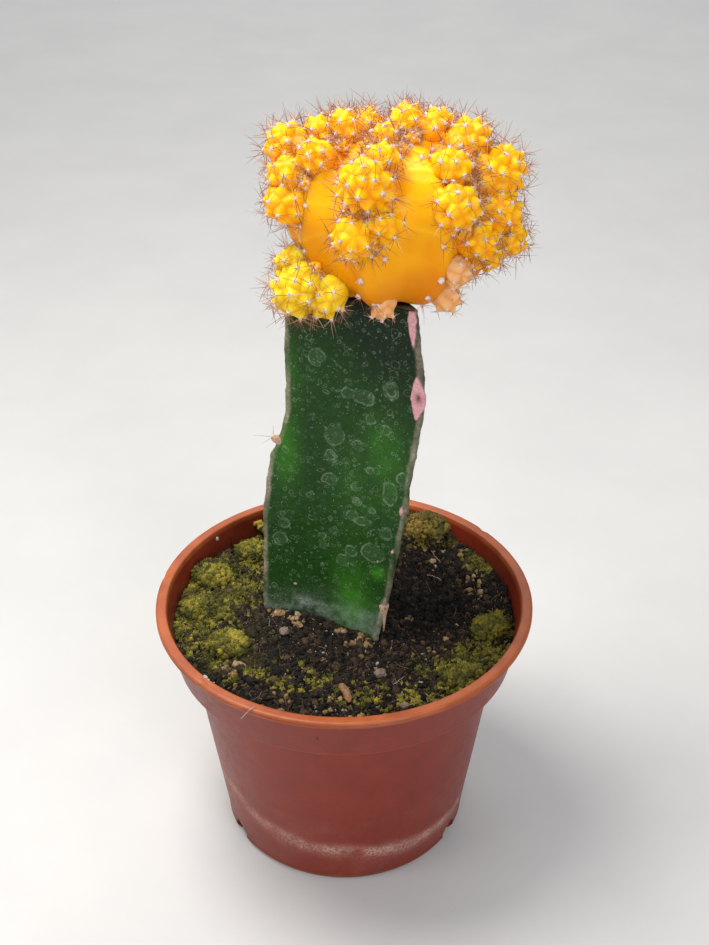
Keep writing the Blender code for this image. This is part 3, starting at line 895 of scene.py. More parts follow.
# %% Grains of bark and clay, most of them along the stem
TAN_GRAINS = (  # x, y, how many, how far they spread
    (-14.6, -1.4, 16, 1.5), (-10.6, -5.2, 14, 1.6), (-1.0, -5.6, 8, 0.9), (2.6, -7.0, 9, 0.9),
    (5.4, -8.2, 10, 1.1), (0.4, -9.6, 5, 1.2), (15.6, 5.5, 12, 1.6), (-24.0, -18.0, 18, 2.4),
    (-3.0, -30.0, 6, 2.5), (30.0, 12.0, 12, 4.0), (-12.0, -27.0, 7, 3.0), (19.0, -9.0, 7, 4.0),
    (4.0, -33.0, 8, 3.0), (24.0, 24.0, 14, 4.0),
)


def make_tan_grains():
    chance = np.random.default_rng(95)
    spots = np.concatenate([np.tile(grain[:2] + grain[3:], (grain[2], 1)) for grain in TAN_GRAINS])
    flat = spots[:, :2] + chance.normal(size=(len(spots), 2)) * spots[:, 2:] * 0.6
    size = chance.uniform(0.3, 0.72, (len(spots), 1))
    places = np.column_stack([flat, rough_ground(flat[:, 0], flat[:, 1])]) + size * (0, 0, 0.75)
    keep = ~inside_stem(places, 0.4)
    places, size = places[keep], size[keep]
    upward = unit(chance.normal(size=places.shape) + (0, 0, 1.0))
    stretch = chance.uniform(0.7, 1.25, places.shape)
    points, faces = lumps(3, places, size * stretch, upward, 96, 0.5, 0.5)
    tone = per_point(chance.uniform(0.88, 0.97, len(places)), 3)
    piece = mesh_piece("soil_tan_grains", points, faces, PEAT, masks={"tone": tone, "algae": tone * 0})
    belongs(piece, "soil")
    print("tan grains:", len(places))


make_tan_grains()

# %% [markdown]
# Fibres of root and coir stick out of peat in every direction. Each is a thin tube that wanders.
# The spines of the head are tubes as well, so the helper takes any set of centre lines at once.

# %% A helper for many thin tubes
def tubes(lines, radii, sides=3):
    """Points and triangles of closed tapered tubes.

    Lines are (tubes, stations, 3), and radii are (tubes, stations). Each end closes on its own ring.
    """
    count, stations = lines.shape[:2]
    along = unit(np.gradient(lines, axis=1))
    guide = np.where(np.abs(along[:, :1, 2:]) > 0.8, (1.0, 0, 0), (0, 0, 1.0))
    side = unit(np.cross(along, guide))
    other = np.cross(along, side)
    angle = np.arange(sides) * 2 * math.pi / sides
    around = side[:, :, None] * np.cos(angle)[:, None] + other[:, :, None] * np.sin(angle)[:, None]
    rings = lines[:, :, None] + around * radii[:, :, None, None]
    quads = loft_faces(stations, sides)
    triangles = np.concatenate([quads[:, [0, 1, 2]], quads[:, [0, 2, 3]]])
    fan = [(0, i + 1, i) for i in range(1, sides - 1)]
    last = (stations - 1) * sides
    far_fan = [(last, last + i, last + i + 1) for i in range(1, sides - 1)]
    triangles = np.concatenate([triangles, fan, far_fan])
    starts = np.arange(count)[:, None, None] * stations * sides
    return rings.reshape(-1, 3), (triangles[None] + starts).reshape(-1, 3)


def wandering(starts, directions, lengths, stations, bend, seed):
    """Centre lines that leave each start in its direction and drift to one side."""
    chance = np.random.default_rng(seed)
    drift = chance.normal(size=(len(starts), 1, 3)) * bend
    twist = chance.normal(size=(len(starts), stations, 3)) * bend * 0.35
    share = np.linspace(0, 1, stations)[None, :, None]
    heading = unit(directions[:, None] + drift * share + twist)
    steps = heading * lengths[:, None, None] / (stations - 1)
    travelled = np.cumsum(steps, axis=1) - steps[:, :1]
    return starts[:, None] + travelled


def make_fibres():
    """Fibres all over the soil, with the first laid over the lip at the front left."""
    turns = ((-17.8, -37.4, 61.2), (-18.8, -38.1, 61.25), (-19.8, -38.7, 60.4), (-20.8, -38.6, 59.0))
    share = np.linspace(0, 1, 8)
    over_the_rim = np.stack([np.interp(share, (0, 0.35, 0.65, 1), axis) for axis in zip(*turns)], axis=1)
    chance = np.random.default_rng(91)
    places = scattered(420, 91, margin=1.5)
    flat = chance.normal(size=places.shape) * (1, 1, 0.28) + (0, 0, 0.1)
    lengths = chance.uniform(1.5, 6.5, len(places)) * chance.uniform(0.5, 1, len(places))
    lines = wandering(places + (0, 0, 0.35), unit(flat), lengths, 8, 0.55, 92)
    floor = rough_ground(lines[..., 0].ravel(), lines[..., 1].ravel()).reshape(lines.shape[:2])
    lines[..., 2] = np.maximum(lines[..., 2], floor + 0.15)
    radius = chance.uniform(0.045, 0.12, (len(places), 1)) * np.linspace(1, 0.5, 8)
    shade = chance.choice([0.6, 0.8, 0.9, 0.99], len(places), p=[0.3, 0.35, 0.2, 0.15])
    lines[0], radius[0], shade[0] = over_the_rim, 0.10, 1.0
    points, faces = tubes(lines, radius, 4)
    tone = np.repeat(shade, 32)
    piece = mesh_piece("soil_fibres", points, faces, PEAT, masks={"tone": tone, "algae": tone * 0})
    belongs(piece, "soil")
    print("fibres:", len(places))


make_fibres()

# %% [markdown]
# ## Moss, grit and a splinter of bark
# Moss is thousands of tiny leafy shoots packed into a cushion. Close to, each cushion is a lump
# with a broken, spiky outline, yellow-green at the shoot tips and dark in the gaps. So each
# patch is a low dome that fills its CAD node, covered in spiky tufts, with small leaves between.

# %% Growing a fine skin inside a CAD node's shape
def middle_of(node):
    points = np.array([v.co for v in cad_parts[node].data.vertices]) / MM
    return points.mean(axis=0)


def envelope(node, level):
    """A ball's directions, and how far the CAD node's skin lies from its middle along each."""
    tree, middle = tree_of(node), middle_of(node)
    directions, faces = BALLS[level]
    reach = np.empty(len(directions))
    for index, direction in enumerate(directions):
        reach[index] = tree.ray_cast(Vector(middle), Vector(direction))[3] or 0.0
    return middle, directions, faces, reach


def smoothed(values, faces, times):
    """Each value moves towards the average of its neighbours, which rounds off CAD facets."""
    ends = np.concatenate([faces[:, [0, 1]], faces[:, [1, 2]], faces[:, [2, 0]]])
    ends = np.concatenate([ends, ends[:, ::-1]])
    count = np.bincount(ends[:, 0], minlength=len(values))
    for _ in range(times):
        around = np.bincount(ends[:, 0], weights=values[ends[:, 1]], minlength=len(values))
        values = (values + around / count) / 2
    return values


# %% Moss green
def moss_green():
    made, tree, shader = new_material("moss", 0.88, 0.25)
    colour = ramp(
        tree,
        attribute(tree, "tone"),
        (0.0, (0.012, 0.012, 0.004)),
        (0.28, (0.055, 0.052, 0.009)),
        (0.5, (0.16, 0.145, 0.020)),
        (0.74, (0.34, 0.275, 0.035)),
        (1.0, (0.55, 0.37, 0.075)),
    )
    specks = mottled(tree, (1, 1, 1), (0.55, 0.55, 0.5), 2.5, 0.6)
    colour = mix_colour(tree, 1.0, colour, specks.outputs["Colour"], "MULTIPLY")
    colour = mix_colour(tree, attribute(tree, "bank"), colour, (0.62, 0.50, 0.80), "MULTIPLY")
    feed_named(tree, shader, Base_Color=colour)
    glow(shader, 0.15, (0.8, 1.0, 0.3), 0.0006)
    relief(tree, shader, 0.25, 0.1, 5.0)
    return made


MOSS = moss_green()


def moss_tone(places, chance, lift):
    """Yellow-green in clumps, and darker in the gaps."""
    clumps = 0.5 + 0.55 * noise(places, 3.4, 51, 2)
    return np.clip(clumps * 0.7 + lift + chance.uniform(-0.16, 0.16, len(places)), 0.02, 1)


def bank_at(points):
    """Where the moss has browned: on the bank at the back right."""
    return np.exp(-oval(points, 17, 32, 15, 12))


def tufts(places, upward, smallest, largest, lift, seed):
    """Spiky lumps with leaves standing off them, as points, faces and tones."""
    chance = np.random.default_rng(seed)
    size = chance.uniform(smallest, largest, (len(places), 1)) * chance.uniform(0.7, 1.2, (len(places), 3))
    heading = unit(upward + chance.normal(size=places.shape) * 0.45)
    tone = moss_tone(places, chance, lift)
    points, faces = lumps(2, places, size, heading, seed, 0.75, 0.42)
    leaf_at = np.repeat(np.arange(len(places)), 5)
    way = unit(upward[leaf_at] * 0.8 + chance.normal(size=(len(leaf_at), 3)) * 0.75)
    start = places[leaf_at] + way * size[leaf_at].mean(axis=1, keepdims=True) * 0.55
    lines = wandering(start, way, chance.uniform(0.35, 0.9, len(leaf_at)), 3, 0.5, seed + 1)
    radii = chance.uniform(0.07, 0.13, (len(leaf_at), 1)) * np.array([0.9, 1.0, 0.15])
    leaf_points, leaf_faces = tubes(lines, radii)
    leaf_tone = np.repeat(np.clip(tone[leaf_at] + chance.uniform(-0.05, 0.25, len(leaf_at)), 0, 1), 9)
    faces = np.concatenate([faces, leaf_faces + len(points)])
    return np.concatenate([points, leaf_points]), faces, np.concatenate([per_point(tone, 2), leaf_tone])


# %% Moss cushions over their nodes
MOSS_LIFT = (0.12, 0.05, 0.18, 0.06, 0.10, 0.12, 0.16, 0.10)  # how yellow each cushion is
TUFTS_PER_CUSHION = 190


def moss_cushion(number, lift):
    node = f"moss_cushion_{number}"
    middle, directions, faces, reach = envelope(node, 5)
    reach = smoothed(reach, faces, 12)
    uneven = 0.90 + 0.10 * noise(directions * 5 + number * 9, 1.0, 60, 3)
    base = middle + directions * (reach * uneven)[:, None]
    chance = np.random.default_rng(600 + number)
    upper = np.flatnonzero((directions[:, 2] > -0.2) & (reach > 0.5))
    area = reach[upper] ** 2
    chosen = chance.choice(upper, TUFTS_PER_CUSHION, replace=False, p=area / area.sum())
    upward = directions[chosen] + (0, 0, 0.6)
    points, tuft_faces, tone = tufts(base[chosen], upward, 0.38, 0.85, lift, 610 + number)
    base_tone = np.clip(0.3 + 0.4 * noise(base, 1.4, 61, 2), 0, 1)
    points, faces = np.concatenate([base, points]), np.concatenate([faces, tuft_faces + len(base)])
    masks = {"tone": np.concatenate([base_tone, tone]), "bank": bank_at(points)}
    piece = mesh_piece(f"moss_patch_{number}", points, faces, MOSS, masks=masks)
    belongs(piece, "moss", node)


for number, lift in enumerate(MOSS_LIFT, 1):
    moss_cushion(number, lift)

# %% [markdown]
# Between the cushions the moss creeps thinly over the peat. A mask made of a few broad ovals,
# broken up by noise, says how likely a tuft is at each place.

# %% Creeping moss
CREEPING = (  # ovals, with how thick the moss is in each
    (-31, 12, 12, 18, 1.0), (-24, 24, 12, 10, 1.0), (-30, -9, 7, 8, 1.0), (-20, -21, 6, 4, 0.8),
    (-34, -2, 6, 8, 1.0), (20, 32, 14, 7, 1.5), (34, -6, 5, 8, 0.9), (27, -23, 8, 5, 0.9),
    (20, -29, 6, 3, 0.8), (-8, 36, 9, 3, 1.0), (33, 22, 5, 8, 0.8),
    (19, -16, 6, 4, 0.55), (31, -14, 8, 8, 0.7), (-10, -20, 9, 5, 0.35), (8, -26, 12, 6, 0.3),
)


def creeping_chance(places):
    mask = np.zeros(len(places))
    for *shape, strength in CREEPING:
        mask = np.maximum(mask, np.clip(1.35 - oval(places, *shape), 0, 1) * strength)
    return mask * np.clip(0.6 + 1.3 * noise(places, 4.5, 53, 3), 0, 1)


def make_creeping_moss(batch):
    places = scattered(9000, 500 + batch, margin=0.9)
    chance = np.random.default_rng(510 + batch)
    places = places[chance.uniform(0, 1, len(places)) < creeping_chance(places)]
    places[:, 2] += 0.25
    upward = np.broadcast_to((0.0, 0.0, 1.0), places.shape)
    points, faces, tone = tufts(places, upward, 0.3, 0.72, 0.10, 520 + batch * 3)
    masks = {"tone": tone, "bank": bank_at(points)}
    piece = mesh_piece(f"moss_creeping_{batch}", points, faces, MOSS, masks=masks)
    belongs(piece, "moss")
    return len(places)


print("creeping tufts:", sum(make_creeping_moss(batch) for batch in (1, 2)))


def make_stray_bits():
    """A bright tuft high on the far wall, a pale fleck beside it, and a flake of lime on the lip."""
    chance = np.random.default_rng(530)
    places = np.array([-21.0, 32.7, 58.0]) + chance.normal(size=(9, 3)) * (0.7, 0.3, 0.6)
    upward = np.broadcast_to((0.3, -0.6, 0.7), places.shape)
    points, faces, tone = tufts(places, upward, 0.5, 0.9, 0.45, 531)
    belongs(mesh_piece("moss_stray", points, faces, MOSS, masks={"tone": tone}), "moss")
    places = np.array([(-30.8, 24.8, 59.0), (-28.9, -27.9, 60.95), (-28.2, -28.9, 60.9)])
    sizes = np.array([(0.5, 0.5, 0.4), (0.6, 0.4, 0.15), (0.4, 0.3, 0.12)])
    upward = np.array([(0.75, -0.66, 0.0), (0.0, 0.0, 1.0), (0.0, 0.0, 1.0)])
    points, faces = lumps(3, places, sizes, upward, 533, 0.5, 0.6)
    tone = np.full(len(points), 1.0)
    piece = mesh_piece("lime_flecks", points, faces, PEAT, masks={"tone": tone, "algae": tone * 0})
    belongs(piece, "grit")


make_stray_bits()


# %% Grit crumbs
def grit_stone():
    made, tree, shader = new_material("grit", 0.85, 0.3)
    stone = mottled(tree, (0.27, 0.20, 0.155), (0.10, 0.075, 0.06), 1.1, 0.6)
    feed_named(tree, shader, Base_Color=stone.outputs["Colour"])
    relief(tree, shader, 0.3, 0.15, 5.0)
    return made


def grit_crumb(number, finish):
    middle, directions, faces, reach = envelope(f"grit_crumb_{number}", 5)
    broken = 0.95 + 0.34 * noise(directions * 1.9 + number * 7, 1.0, 64, 4)
    piece = mesh_piece(f"grit_{number}", middle + directions * (reach * broken)[:, None], faces, finish)
    belongs(piece, "grit", f"grit_crumb_{number}")


GRIT = grit_stone()
for number in (1, 2, 3):
    grit_crumb(number, GRIT)


# %% The splinter of bark
def bark():
    made, tree, shader = new_material("bark", 0.85, 0.25)
    streaks = mottled(tree, (0.32, 0.17, 0.085), (0.10, 0.05, 0.026), 1.4, 0.7)
    feed_named(tree, shader, Base_Color=streaks.outputs["Colour"])
    relief(tree, shader, 0.3, 0.15, 5.0)
    return made


SPLINTER_SIDES = 40


def make_splinter():
    """A ridged, broken rod laid along the CAD splinter's own long axis."""
    points = np.array([v.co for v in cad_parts["bark_splinter"].data.vertices]) / MM
    middle = points.mean(axis=0)
    along = np.linalg.svd(points - middle, full_matrices=False)[2][0]
    half = np.abs((points - middle) @ along).max()
    stations = np.linspace(-half, half, 60)
    bend = np.interp(stations, (-half, 0, half), (-0.2, 0.25, -0.2))
    side = unit(np.cross(along, (0, 0, 1.0)))
    line = middle + stations[:, None] * along + bend[:, None] * side
    thick = 0.74 * (1 - (np.abs(stations) / half) ** 6) + 0.05
    rod, faces = tubes(line[None], thick[None], SPLINTER_SIDES)
    centre = np.repeat(line, SPLINTER_SIDES, axis=0)
    ridges = 1 + 0.28 * noise((rod - centre) * 2.2 + centre * 0.25, 0.8, 66, 3)
    piece = mesh_piece("splinter", centre + (rod - centre) * ridges[:, None], faces, bark())
    belongs(piece, "bark", "bark_splinter")


make_splinter()

# %% [markdown]
# ## The rootstock
# A length of three-ribbed climbing cactus, cut flat on top. Each rib ends in a blunt, corky edge,
# where the grower has shaved off the spine cushions so that nothing sprouts: those scars have
# dried pink. It is lofted through sections worked out at each height, as the CAD stem is, but finely
# enough that the marks of dried water can be painted on its points.

# %% Where the ribs run
STEM_FOOT, STEM_TOP = 30.0, 135.0
LEFT_RIB_X = (
    (30.0, -15.0), (52.0, -17.7), (80.0, -16.9), (90.0, -15.9), (97.0, -14.8),
    (100.7, -13.3), (104.0, -12.2), (109.0, -11.1), (135.0, -11.0),
)
RIGHT_RIB_X = ((30.0, 4.0), (52.0, 6.7), (70.0, 10.0), (90.0, 13.0), (115.0, 15.8), (135.0, 14.0))
BACK_RIB_Y = ((30.0, 14.0), (60.0, 20.0), (110.0, 21.5), (135.0, 19.5))
LEFT_RIB_Y, RIGHT_RIB_Y, BACK_RIB_X = 2.0, -6.0, 4.5
RIB_EDGE = 0.7
FACE_HOLLOW = 1.3
FACE_COLUMNS = (150, 44, 44)  # the front face is finest, because the water marks are on it
EDGE_COLUMNS = 8
SOIL_LINE = 51.0  # below this the stem is buried, and its rows lie further apart
ROW_STEP, BURIED_ROWS = 0.25, 7


def between(turning_points, at):
    """Values at many heights, read between turning points with eased corners."""
    heights, values = np.array(turning_points).T
    below = np.clip(np.searchsorted(heights, at) - 1, 0, len(heights) - 2)
    share = np.clip((at - heights[below]) / (heights[below + 1] - heights[below]), 0, 1)
    eased = share * share * (3 - 2 * share)
    return values[below] + (values[below + 1] - values[below]) * (share + eased) / 2


def rib_tips(z):
    """The three rib tips at many heights, as (heights, 3, 2): left, right and back."""
    left = np.stack([between(LEFT_RIB_X, z), np.full(len(z), LEFT_RIB_Y)], axis=1)
    right = np.stack([between(RIGHT_RIB_X, z), np.full(len(z), RIGHT_RIB_Y)], axis=1)
    back = np.stack([np.full(len(z), BACK_RIB_X), between(BACK_RIB_Y, z)], axis=1)
    return np.stack([left, right, back], axis=1)


def square_to(directions):
    return np.stack([-directions[..., 1], directions[..., 0]], axis=-1)


# %% The stem's sections
def stem_sections(z):
    """Section points as (heights, columns, 2), how near each column is to a rib's tip, and its rib."""
    tips = rib_tips(z)
    outward = unit(tips - tips.mean(axis=1, keepdims=True))
    across = square_to(outward)
    columns, nearness, rib = [], [], []
    for face, count in enumerate(FACE_COLUMNS):
        after = (face + 1) % 3
        start = tips[:, face] + across[:, face] * RIB_EDGE + outward[:, face] * 0.4
        end = tips[:, after] - across[:, after] * RIB_EDGE + outward[:, after] * 0.4
        run = end - start
        inward = unit(square_to(run))
        even = np.arange(count) / (count - 1)
        share = (1 - np.cos(np.pi * even)) * 0.15 + 0.7 * even  # closer together near the ribs
        dish = FACE_HOLLOW * np.sin(math.pi * share) ** 1.5
        columns.append(start[:, None] + run[:, None] * share[:, None] + inward[:, None] * dish[:, None])
        length = np.linalg.norm(run, axis=1).mean()
        nearness.append(np.maximum(np.exp(-share * length / 0.5), np.exp(-(1 - share) * length / 0.5)))
        rib.append(np.where(share < 0.5, face, after))
        turn = np.linspace(-1, 1, EDGE_COLUMNS + 2)[1:-1]
        bulge = 0.45 + 0.4 * (1 - turn**2)
        sideways = across[:, after][:, None] * (RIB_EDGE * turn)[:, None]
        forwards = outward[:, after][:, None] * bulge[:, None]
        columns.append(tips[:, after][:, None] + sideways + forwards)
        nearness.append(np.ones(EDGE_COLUMNS))
        rib.append(np.full(EDGE_COLUMNS, after))
    return np.concatenate(columns, axis=1), np.concatenate(nearness), np.concatenate(rib)


# %% [markdown]
# The marks that matter are listed one by one: shaved scars on the right rib, and the larger water
# rings on the front face. The many small ones come from the dried drops group.

# %% The stem's marks
SCARS = (  # top, bottom, half width
    (140.0, 125.6, 0.95), (121.2, 110.0, 1.75), (90.4, 86.2, 0.55), (78.8, 76.8, 0.45),
)
BRIGHT_SPOTS = (  # x, height, half width, half height, strength
    (1.5, 63.0, 4.0, 8.0, 1.0), (-12.5, 99.0, 3.0, 8.0, 0.8), (7.4, 71.5, 1.6, 1.8, 0.9),
    (8.5, 100, 4.5, 12, 0.5), (3.5, 92, 5, 10, 0.3), (-11.5, 118, 2, 12, 0.35),
)
FRONT_LIMIT = 3.5  # points nearer than this Y are on the front face
RINGS = (  # x, height, half width, half height
    (-1.9, 103.6, 2.0, 2.3), (-2.7, 98.4, 1.4, 1.5), (-2.7, 98.3, 0.8, 0.8), (3.0, 101.9, 1.1, 1.2),
    (0.5, 97.8, 0.7, 0.7), (0.9, 113.8, 1.3, 1.4), (4.2, 113.4, 2.2, 1.7), (9.8, 116.3, 1.5, 2.3),
    (9.8, 116.3, 0.9, 1.6), (5.8, 113.6, 0.7, 0.7), (8.7, 106.9, 1.2, 1.0), (5.6, 108.5, 1.0, 1.2),
    (-3.0, 92.8, 1.5, 1.4), (2.4, 91.9, 0.9, 0.8), (2.4, 91.9, 0.45, 0.4), (2.9, 88.3, 0.9, 0.9),
    (2.9, 88.3, 0.4, 0.4), (-7.5, 88.2, 0.6, 0.7), (-13.4, 83.0, 0.6, 0.6), (-13.1, 80.5, 1.2, 1.1),
    (-2.9, 82.9, 0.4, 0.5), (1.9, 84.8, 1.2, 1.2), (3.9, 83.7, 1.8, 0.9), (5.9, 86.9, 0.7, 0.7),
    (-2.3, 79.7, 0.9, 1.0), (-4.7, 78.0, 0.8, 0.8), (-4.7, 75.8, 0.7, 1.0), (-0.1, 72.8, 1.4, 1.5),
    (-14.0, 76.2, 1.6, 1.7), (6.3, 76.3, 2.6, 2.2), (9.8, 92.0, 1.5, 2.8), (9.1, 81.9, 1.2, 1.6),
    (1.6, 75.4, 1.2, 1.3), (5.5, 96.6, 0.7, 0.7), (12.1, 96.2, 1.0, 1.4), (-5.5, 121.5, 1.6, 2.0),
)


def ring_mask(points):
    """Thin broken lines round each large ring, and a faint film inside it."""
    line, film = np.zeros(len(points)), np.zeros(len(points))
    front = points[:, 1] < FRONT_LIMIT
    bend = np.stack([noise(points, 1.3, seed, 2) for seed in (70, 71)], axis=1)
    for x, z, wide, high in RINGS:
        apart_x = points[:, 0] - x + bend[:, 0] * 0.4 * min(wide, 1.2)
        apart_z = points[:, 2] - z + bend[:, 1] * 0.4 * min(high, 1.2)
        away = np.hypot(apart_x / wide, apart_z / high)
        width = 0.13 / min(wide, high)
        line = np.maximum(line, bell(away - 1, width) * front)
        film = np.maximum(film, np.clip((1.05 - away) * 4, 0, 1) * 0.4 * front)
    broken = np.clip(0.5 + 1.1 * noise(points, 1.0, 72, 2), 0.08, 1)
    return line * broken, film


def scar_mask(points, tip_distance):
    """Lens-shaped scars down the right rib, with a dark pit in the widest."""
    mask, pit = np.zeros(len(points)), np.zeros(len(points))
    on_rib = (np.abs(points[:, 1] - RIGHT_RIB_Y) < 3.5) & (points[:, 0] > 0)
    for top, bottom, half in SCARS:
        middle, reach = (top + bottom) / 2, (top - bottom) / 2
        along = np.clip(1 - np.abs(points[:, 2] - middle) / reach, 0, 1)
        width = half * along**0.8 * (1 + 0.25 * noise(points, 1.2, 73, 2))
        mask = np.maximum(mask, np.clip((width - tip_distance) / 0.18 + 0.5, 0, 1) * (along > 0))
        from_pit = np.hypot((points[:, 2] - middle) * 0.6, tip_distance)
        pit = np.maximum(pit, bell(from_pit, half * 0.40) * (half > 1))
    return mask * on_rib, pit * on_rib


# %% The green skin
def green_skin():
    made, tree, shader = new_material("green skin", 0.42, 0.2)
    fine = mottled(tree, (0.006, 0.028, 0.005), (0.014, 0.055, 0.007), 0.7, 0.9)
    cells = mottled(tree, (0.55, 0.6, 0.55), (1.5, 1.4, 1.4), 3.0, 0.7)
    colour = mix_colour(tree, attribute(tree, "bright"), fine.outputs["Colour"], (0.034, 0.155, 0.010))
    colour = mix_colour(tree, 0.7, colour, cells.outputs["Colour"], "MULTIPLY")
    # The deep mask paints shade: the skin darkens towards the top, under the head.
    colour = mix_colour(tree, attribute(tree, "deep"), colour, (0.34, 0.32, 0.42), "MULTIPLY")
    small = use_group(tree, DROPS, Drops_per_mm=0.75, Smallest=0.10, Largest=0.38, Line=0.075)
    large = use_group(tree, DROPS, Drops_per_mm=0.36, Smallest=0.05, Largest=0.36, Line=0.035)
    specks = use_group(tree, DROPS, Drops_per_mm=1.9, Smallest=0.0, Largest=0.12, Line=0.16)
    patchy = mottled(tree, (0, 0, 0), (1, 1, 1), 0.16, 0.9)
    drops = greatest(tree, small.outputs["Ring"], large.outputs["Ring"])
    drops = times(tree, drops, times(tree, patchy.outputs["Mask"], 0.9))
    drops = greatest(tree, drops, times(tree, specks.outputs["Ring"], 0.95), attribute(tree, "ring"))
    film = greatest(tree, times(tree, small.outputs["Inside"], 0.16), attribute(tree, "film"))
    grainy = times(tree, cells.outputs["Mask"], 1.3)
    film = times(tree, film, plus(tree, grainy, 0.2))
    colour = mix_colour(tree, times(tree, film, 0.35), colour, (0.13, 0.22, 0.11))
    chipped = times(tree, drops, calculate(tree, "MULTIPLY_ADD", cells.outputs["Mask"], 0.9, 0.5))
    colour = mix_colour(tree, times(tree, chipped, 0.62), colour, (0.27, 0.36, 0.24))
    dusty = calculate(tree, "MULTIPLY", attribute(tree, "dust"), plus(tree, grainy, 0.35), clamp=True)
    colour = mix_colour(tree, times(tree, dusty, 0.8), colour, (0.33, 0.38, 0.33))
    cork = mottled(tree, (0.54, 0.44, 0.36), (0.20, 0.17, 0.10), 1.5, 0.6)
    corky = calculate(tree, "MULTIPLY", attribute(tree, "cork"), plus(tree, grainy, 0.3), clamp=True)
    colour = mix_colour(tree, corky, colour, cork.outputs["Colour"])
    scar = mottled(tree, (0.74, 0.41, 0.43), (0.46, 0.20, 0.23), 2.0, 0.7)
    colour = mix_colour(tree, attribute(tree, "scar"), colour, scar.outputs["Colour"])
    colour = mix_colour(tree, attribute(tree, "pit"), colour, (0.10, 0.018, 0.016))
    chalk = greatest(tree, drops, corky, attribute(tree, "scar"))
    rough = calculate(tree, "MULTIPLY_ADD", greatest(tree, chalk, dusty), 0.4, 0.40)
    feed_named(tree, shader, Base_Color=colour, Roughness=rough)
    glow(shader, 0.08, (0.3, 1.0, 0.2), 0.0015)
    relief(tree, shader, 0.35, 0.045, 4.0, times(tree, chalk, 0.6))
    return made


# %% The stem
def stem_heights():
    buried = np.linspace(STEM_FOOT, SOIL_LINE, BURIED_ROWS + 1)[:-1]
    return np.concatenate([buried, np.arange(SOIL_LINE, STEM_TOP, ROW_STEP), [STEM_TOP]])


def stem_light_and_dust(points):
    """Where the skin is bright green, where shade is painted dark under the head, and where dust lies."""
    height = points[:, 2]
    bright = np.zeros(len(points))
    for x, level, wide, high, strength in BRIGHT_SPOTS:
        away = ((points[:, 0] - x) / wide) ** 2 + ((height - level) / high) ** 2
        bright = np.maximum(bright, strength * np.exp(-away) * (points[:, 1] < FRONT_LIMIT))
    uneven = 1 + 0.5 * noise(points, 2.2, 79, 2)
    bright = np.clip(bright * uneven + 0.14 * noise(points, 11.0, 80, 2), 0, 1)
    # Painted shade under the head: the skin darkens towards the top, more on the right.
    deep = np.clip((height - 110 + 0.45 * points[:, 0] + 5 * noise(points, 9.0, 84, 2)) / 20, 0, 1)
    haze = bell(points[:, 0] + 9.0, 3.6) * bell(height - 59.0, 1.8)
    haze = np.maximum(haze, 0.42 * bell(height - 57.0, 4.5))
    dust = np.clip(haze * (0.65 + 1.1 * noise(points, 1.8, 81, 4)), 0, 1) * (height > 52)
    # The bright green is dimmed under the head too, as part of the same painted shade.
    return {"bright": bright * (1 - 0.5 * deep), "deep": deep, "dust": dust}


def cork_line(points, tip_distance):
    """A thin, broken line of cork along each rib's blunt edge."""
    line = 0.17 * (1 + 0.6 * noise(points * (0.5, 0.5, 1), 2.2, 83, 2))
    broken = np.clip(0.55 + 0.9 * noise(points * (1, 1, 0.35), 2.0, 82, 3), 0, 1)
    return bell(np.maximum(tip_distance - 0.72, 0), line) * broken


def build_stem():
    z = stem_heights()
    sections, nearness, rib = stem_sections(z)
    rows, count = sections.shape[:2]
    flow = np.roll(sections, -1, axis=1) - np.roll(sections, 1, axis=1)
    outward = -square_to(unit(flow))
    points = np.concatenate([sections, np.broadcast_to(z[:, None, None], (rows, count, 1))], axis=2)
    points = points.reshape(-1, 3)
    near, which = np.tile(nearness, rows), np.tile(rib, rows)
    tips = rib_tips(points[:, 2])[np.arange(len(points)), which]
    tip_distance = np.linalg.norm(points[:, :2] - tips, axis=1)
    front_corner = tips + (-0.55, -0.35)
    scar, pit = scar_mask(points, np.linalg.norm(points[:, :2] - front_corner, axis=1))
    ring, film = ring_mask(points)
    uneven = 0.16 * noise(points, 7.0, 75, 2) + 0.05 * noise(points, 1.8, 76, 2)
    gnarled = near * (0.30 * noise(points * (0.4, 0.4, 1.0), 2.6, 77, 3) + 0.10 * noise(points, 0.8, 78, 2))
    push = uneven * (1 - near) + gnarled + 0.25 * scar - 0.55 * pit + 0.03 * ring
    push -= 0.25 * bell(points[:, 2] - STEM_TOP, 1.2)
    points[:, :2] += outward.reshape(-1, 2) * push[:, None]
    masks = {
        **stem_light_and_dust(points), "cork": cork_line(points, tip_distance),
        "scar": scar, "pit": pit, "ring": ring, "film": film,
    }
    piece = mesh_piece("rootstock_skin", points, loft_faces(rows, count), green_skin(), masks=masks)
    close_end(piece.data, range(count), True)
    close_end(piece.data, range((rows - 1) * count, rows * count), False)
    belongs(piece, "green_skin", "rootstock")
    print("stem faces:", len(piece.data.polygons))
    return piece


build_stem()

# %% [markdown]
# ## The head
# The scion is a barrel cactus without chlorophyll: a swollen body on eight low ribs, with waxy
# flesh that light sinks into. Sculpting could make it, but a rule for the skin's distance from
# the middle in every direction is easier to change. The rule adds the ribs, the pale bands that
# run down and out from each crest, and the folds where one lobe presses on the next.

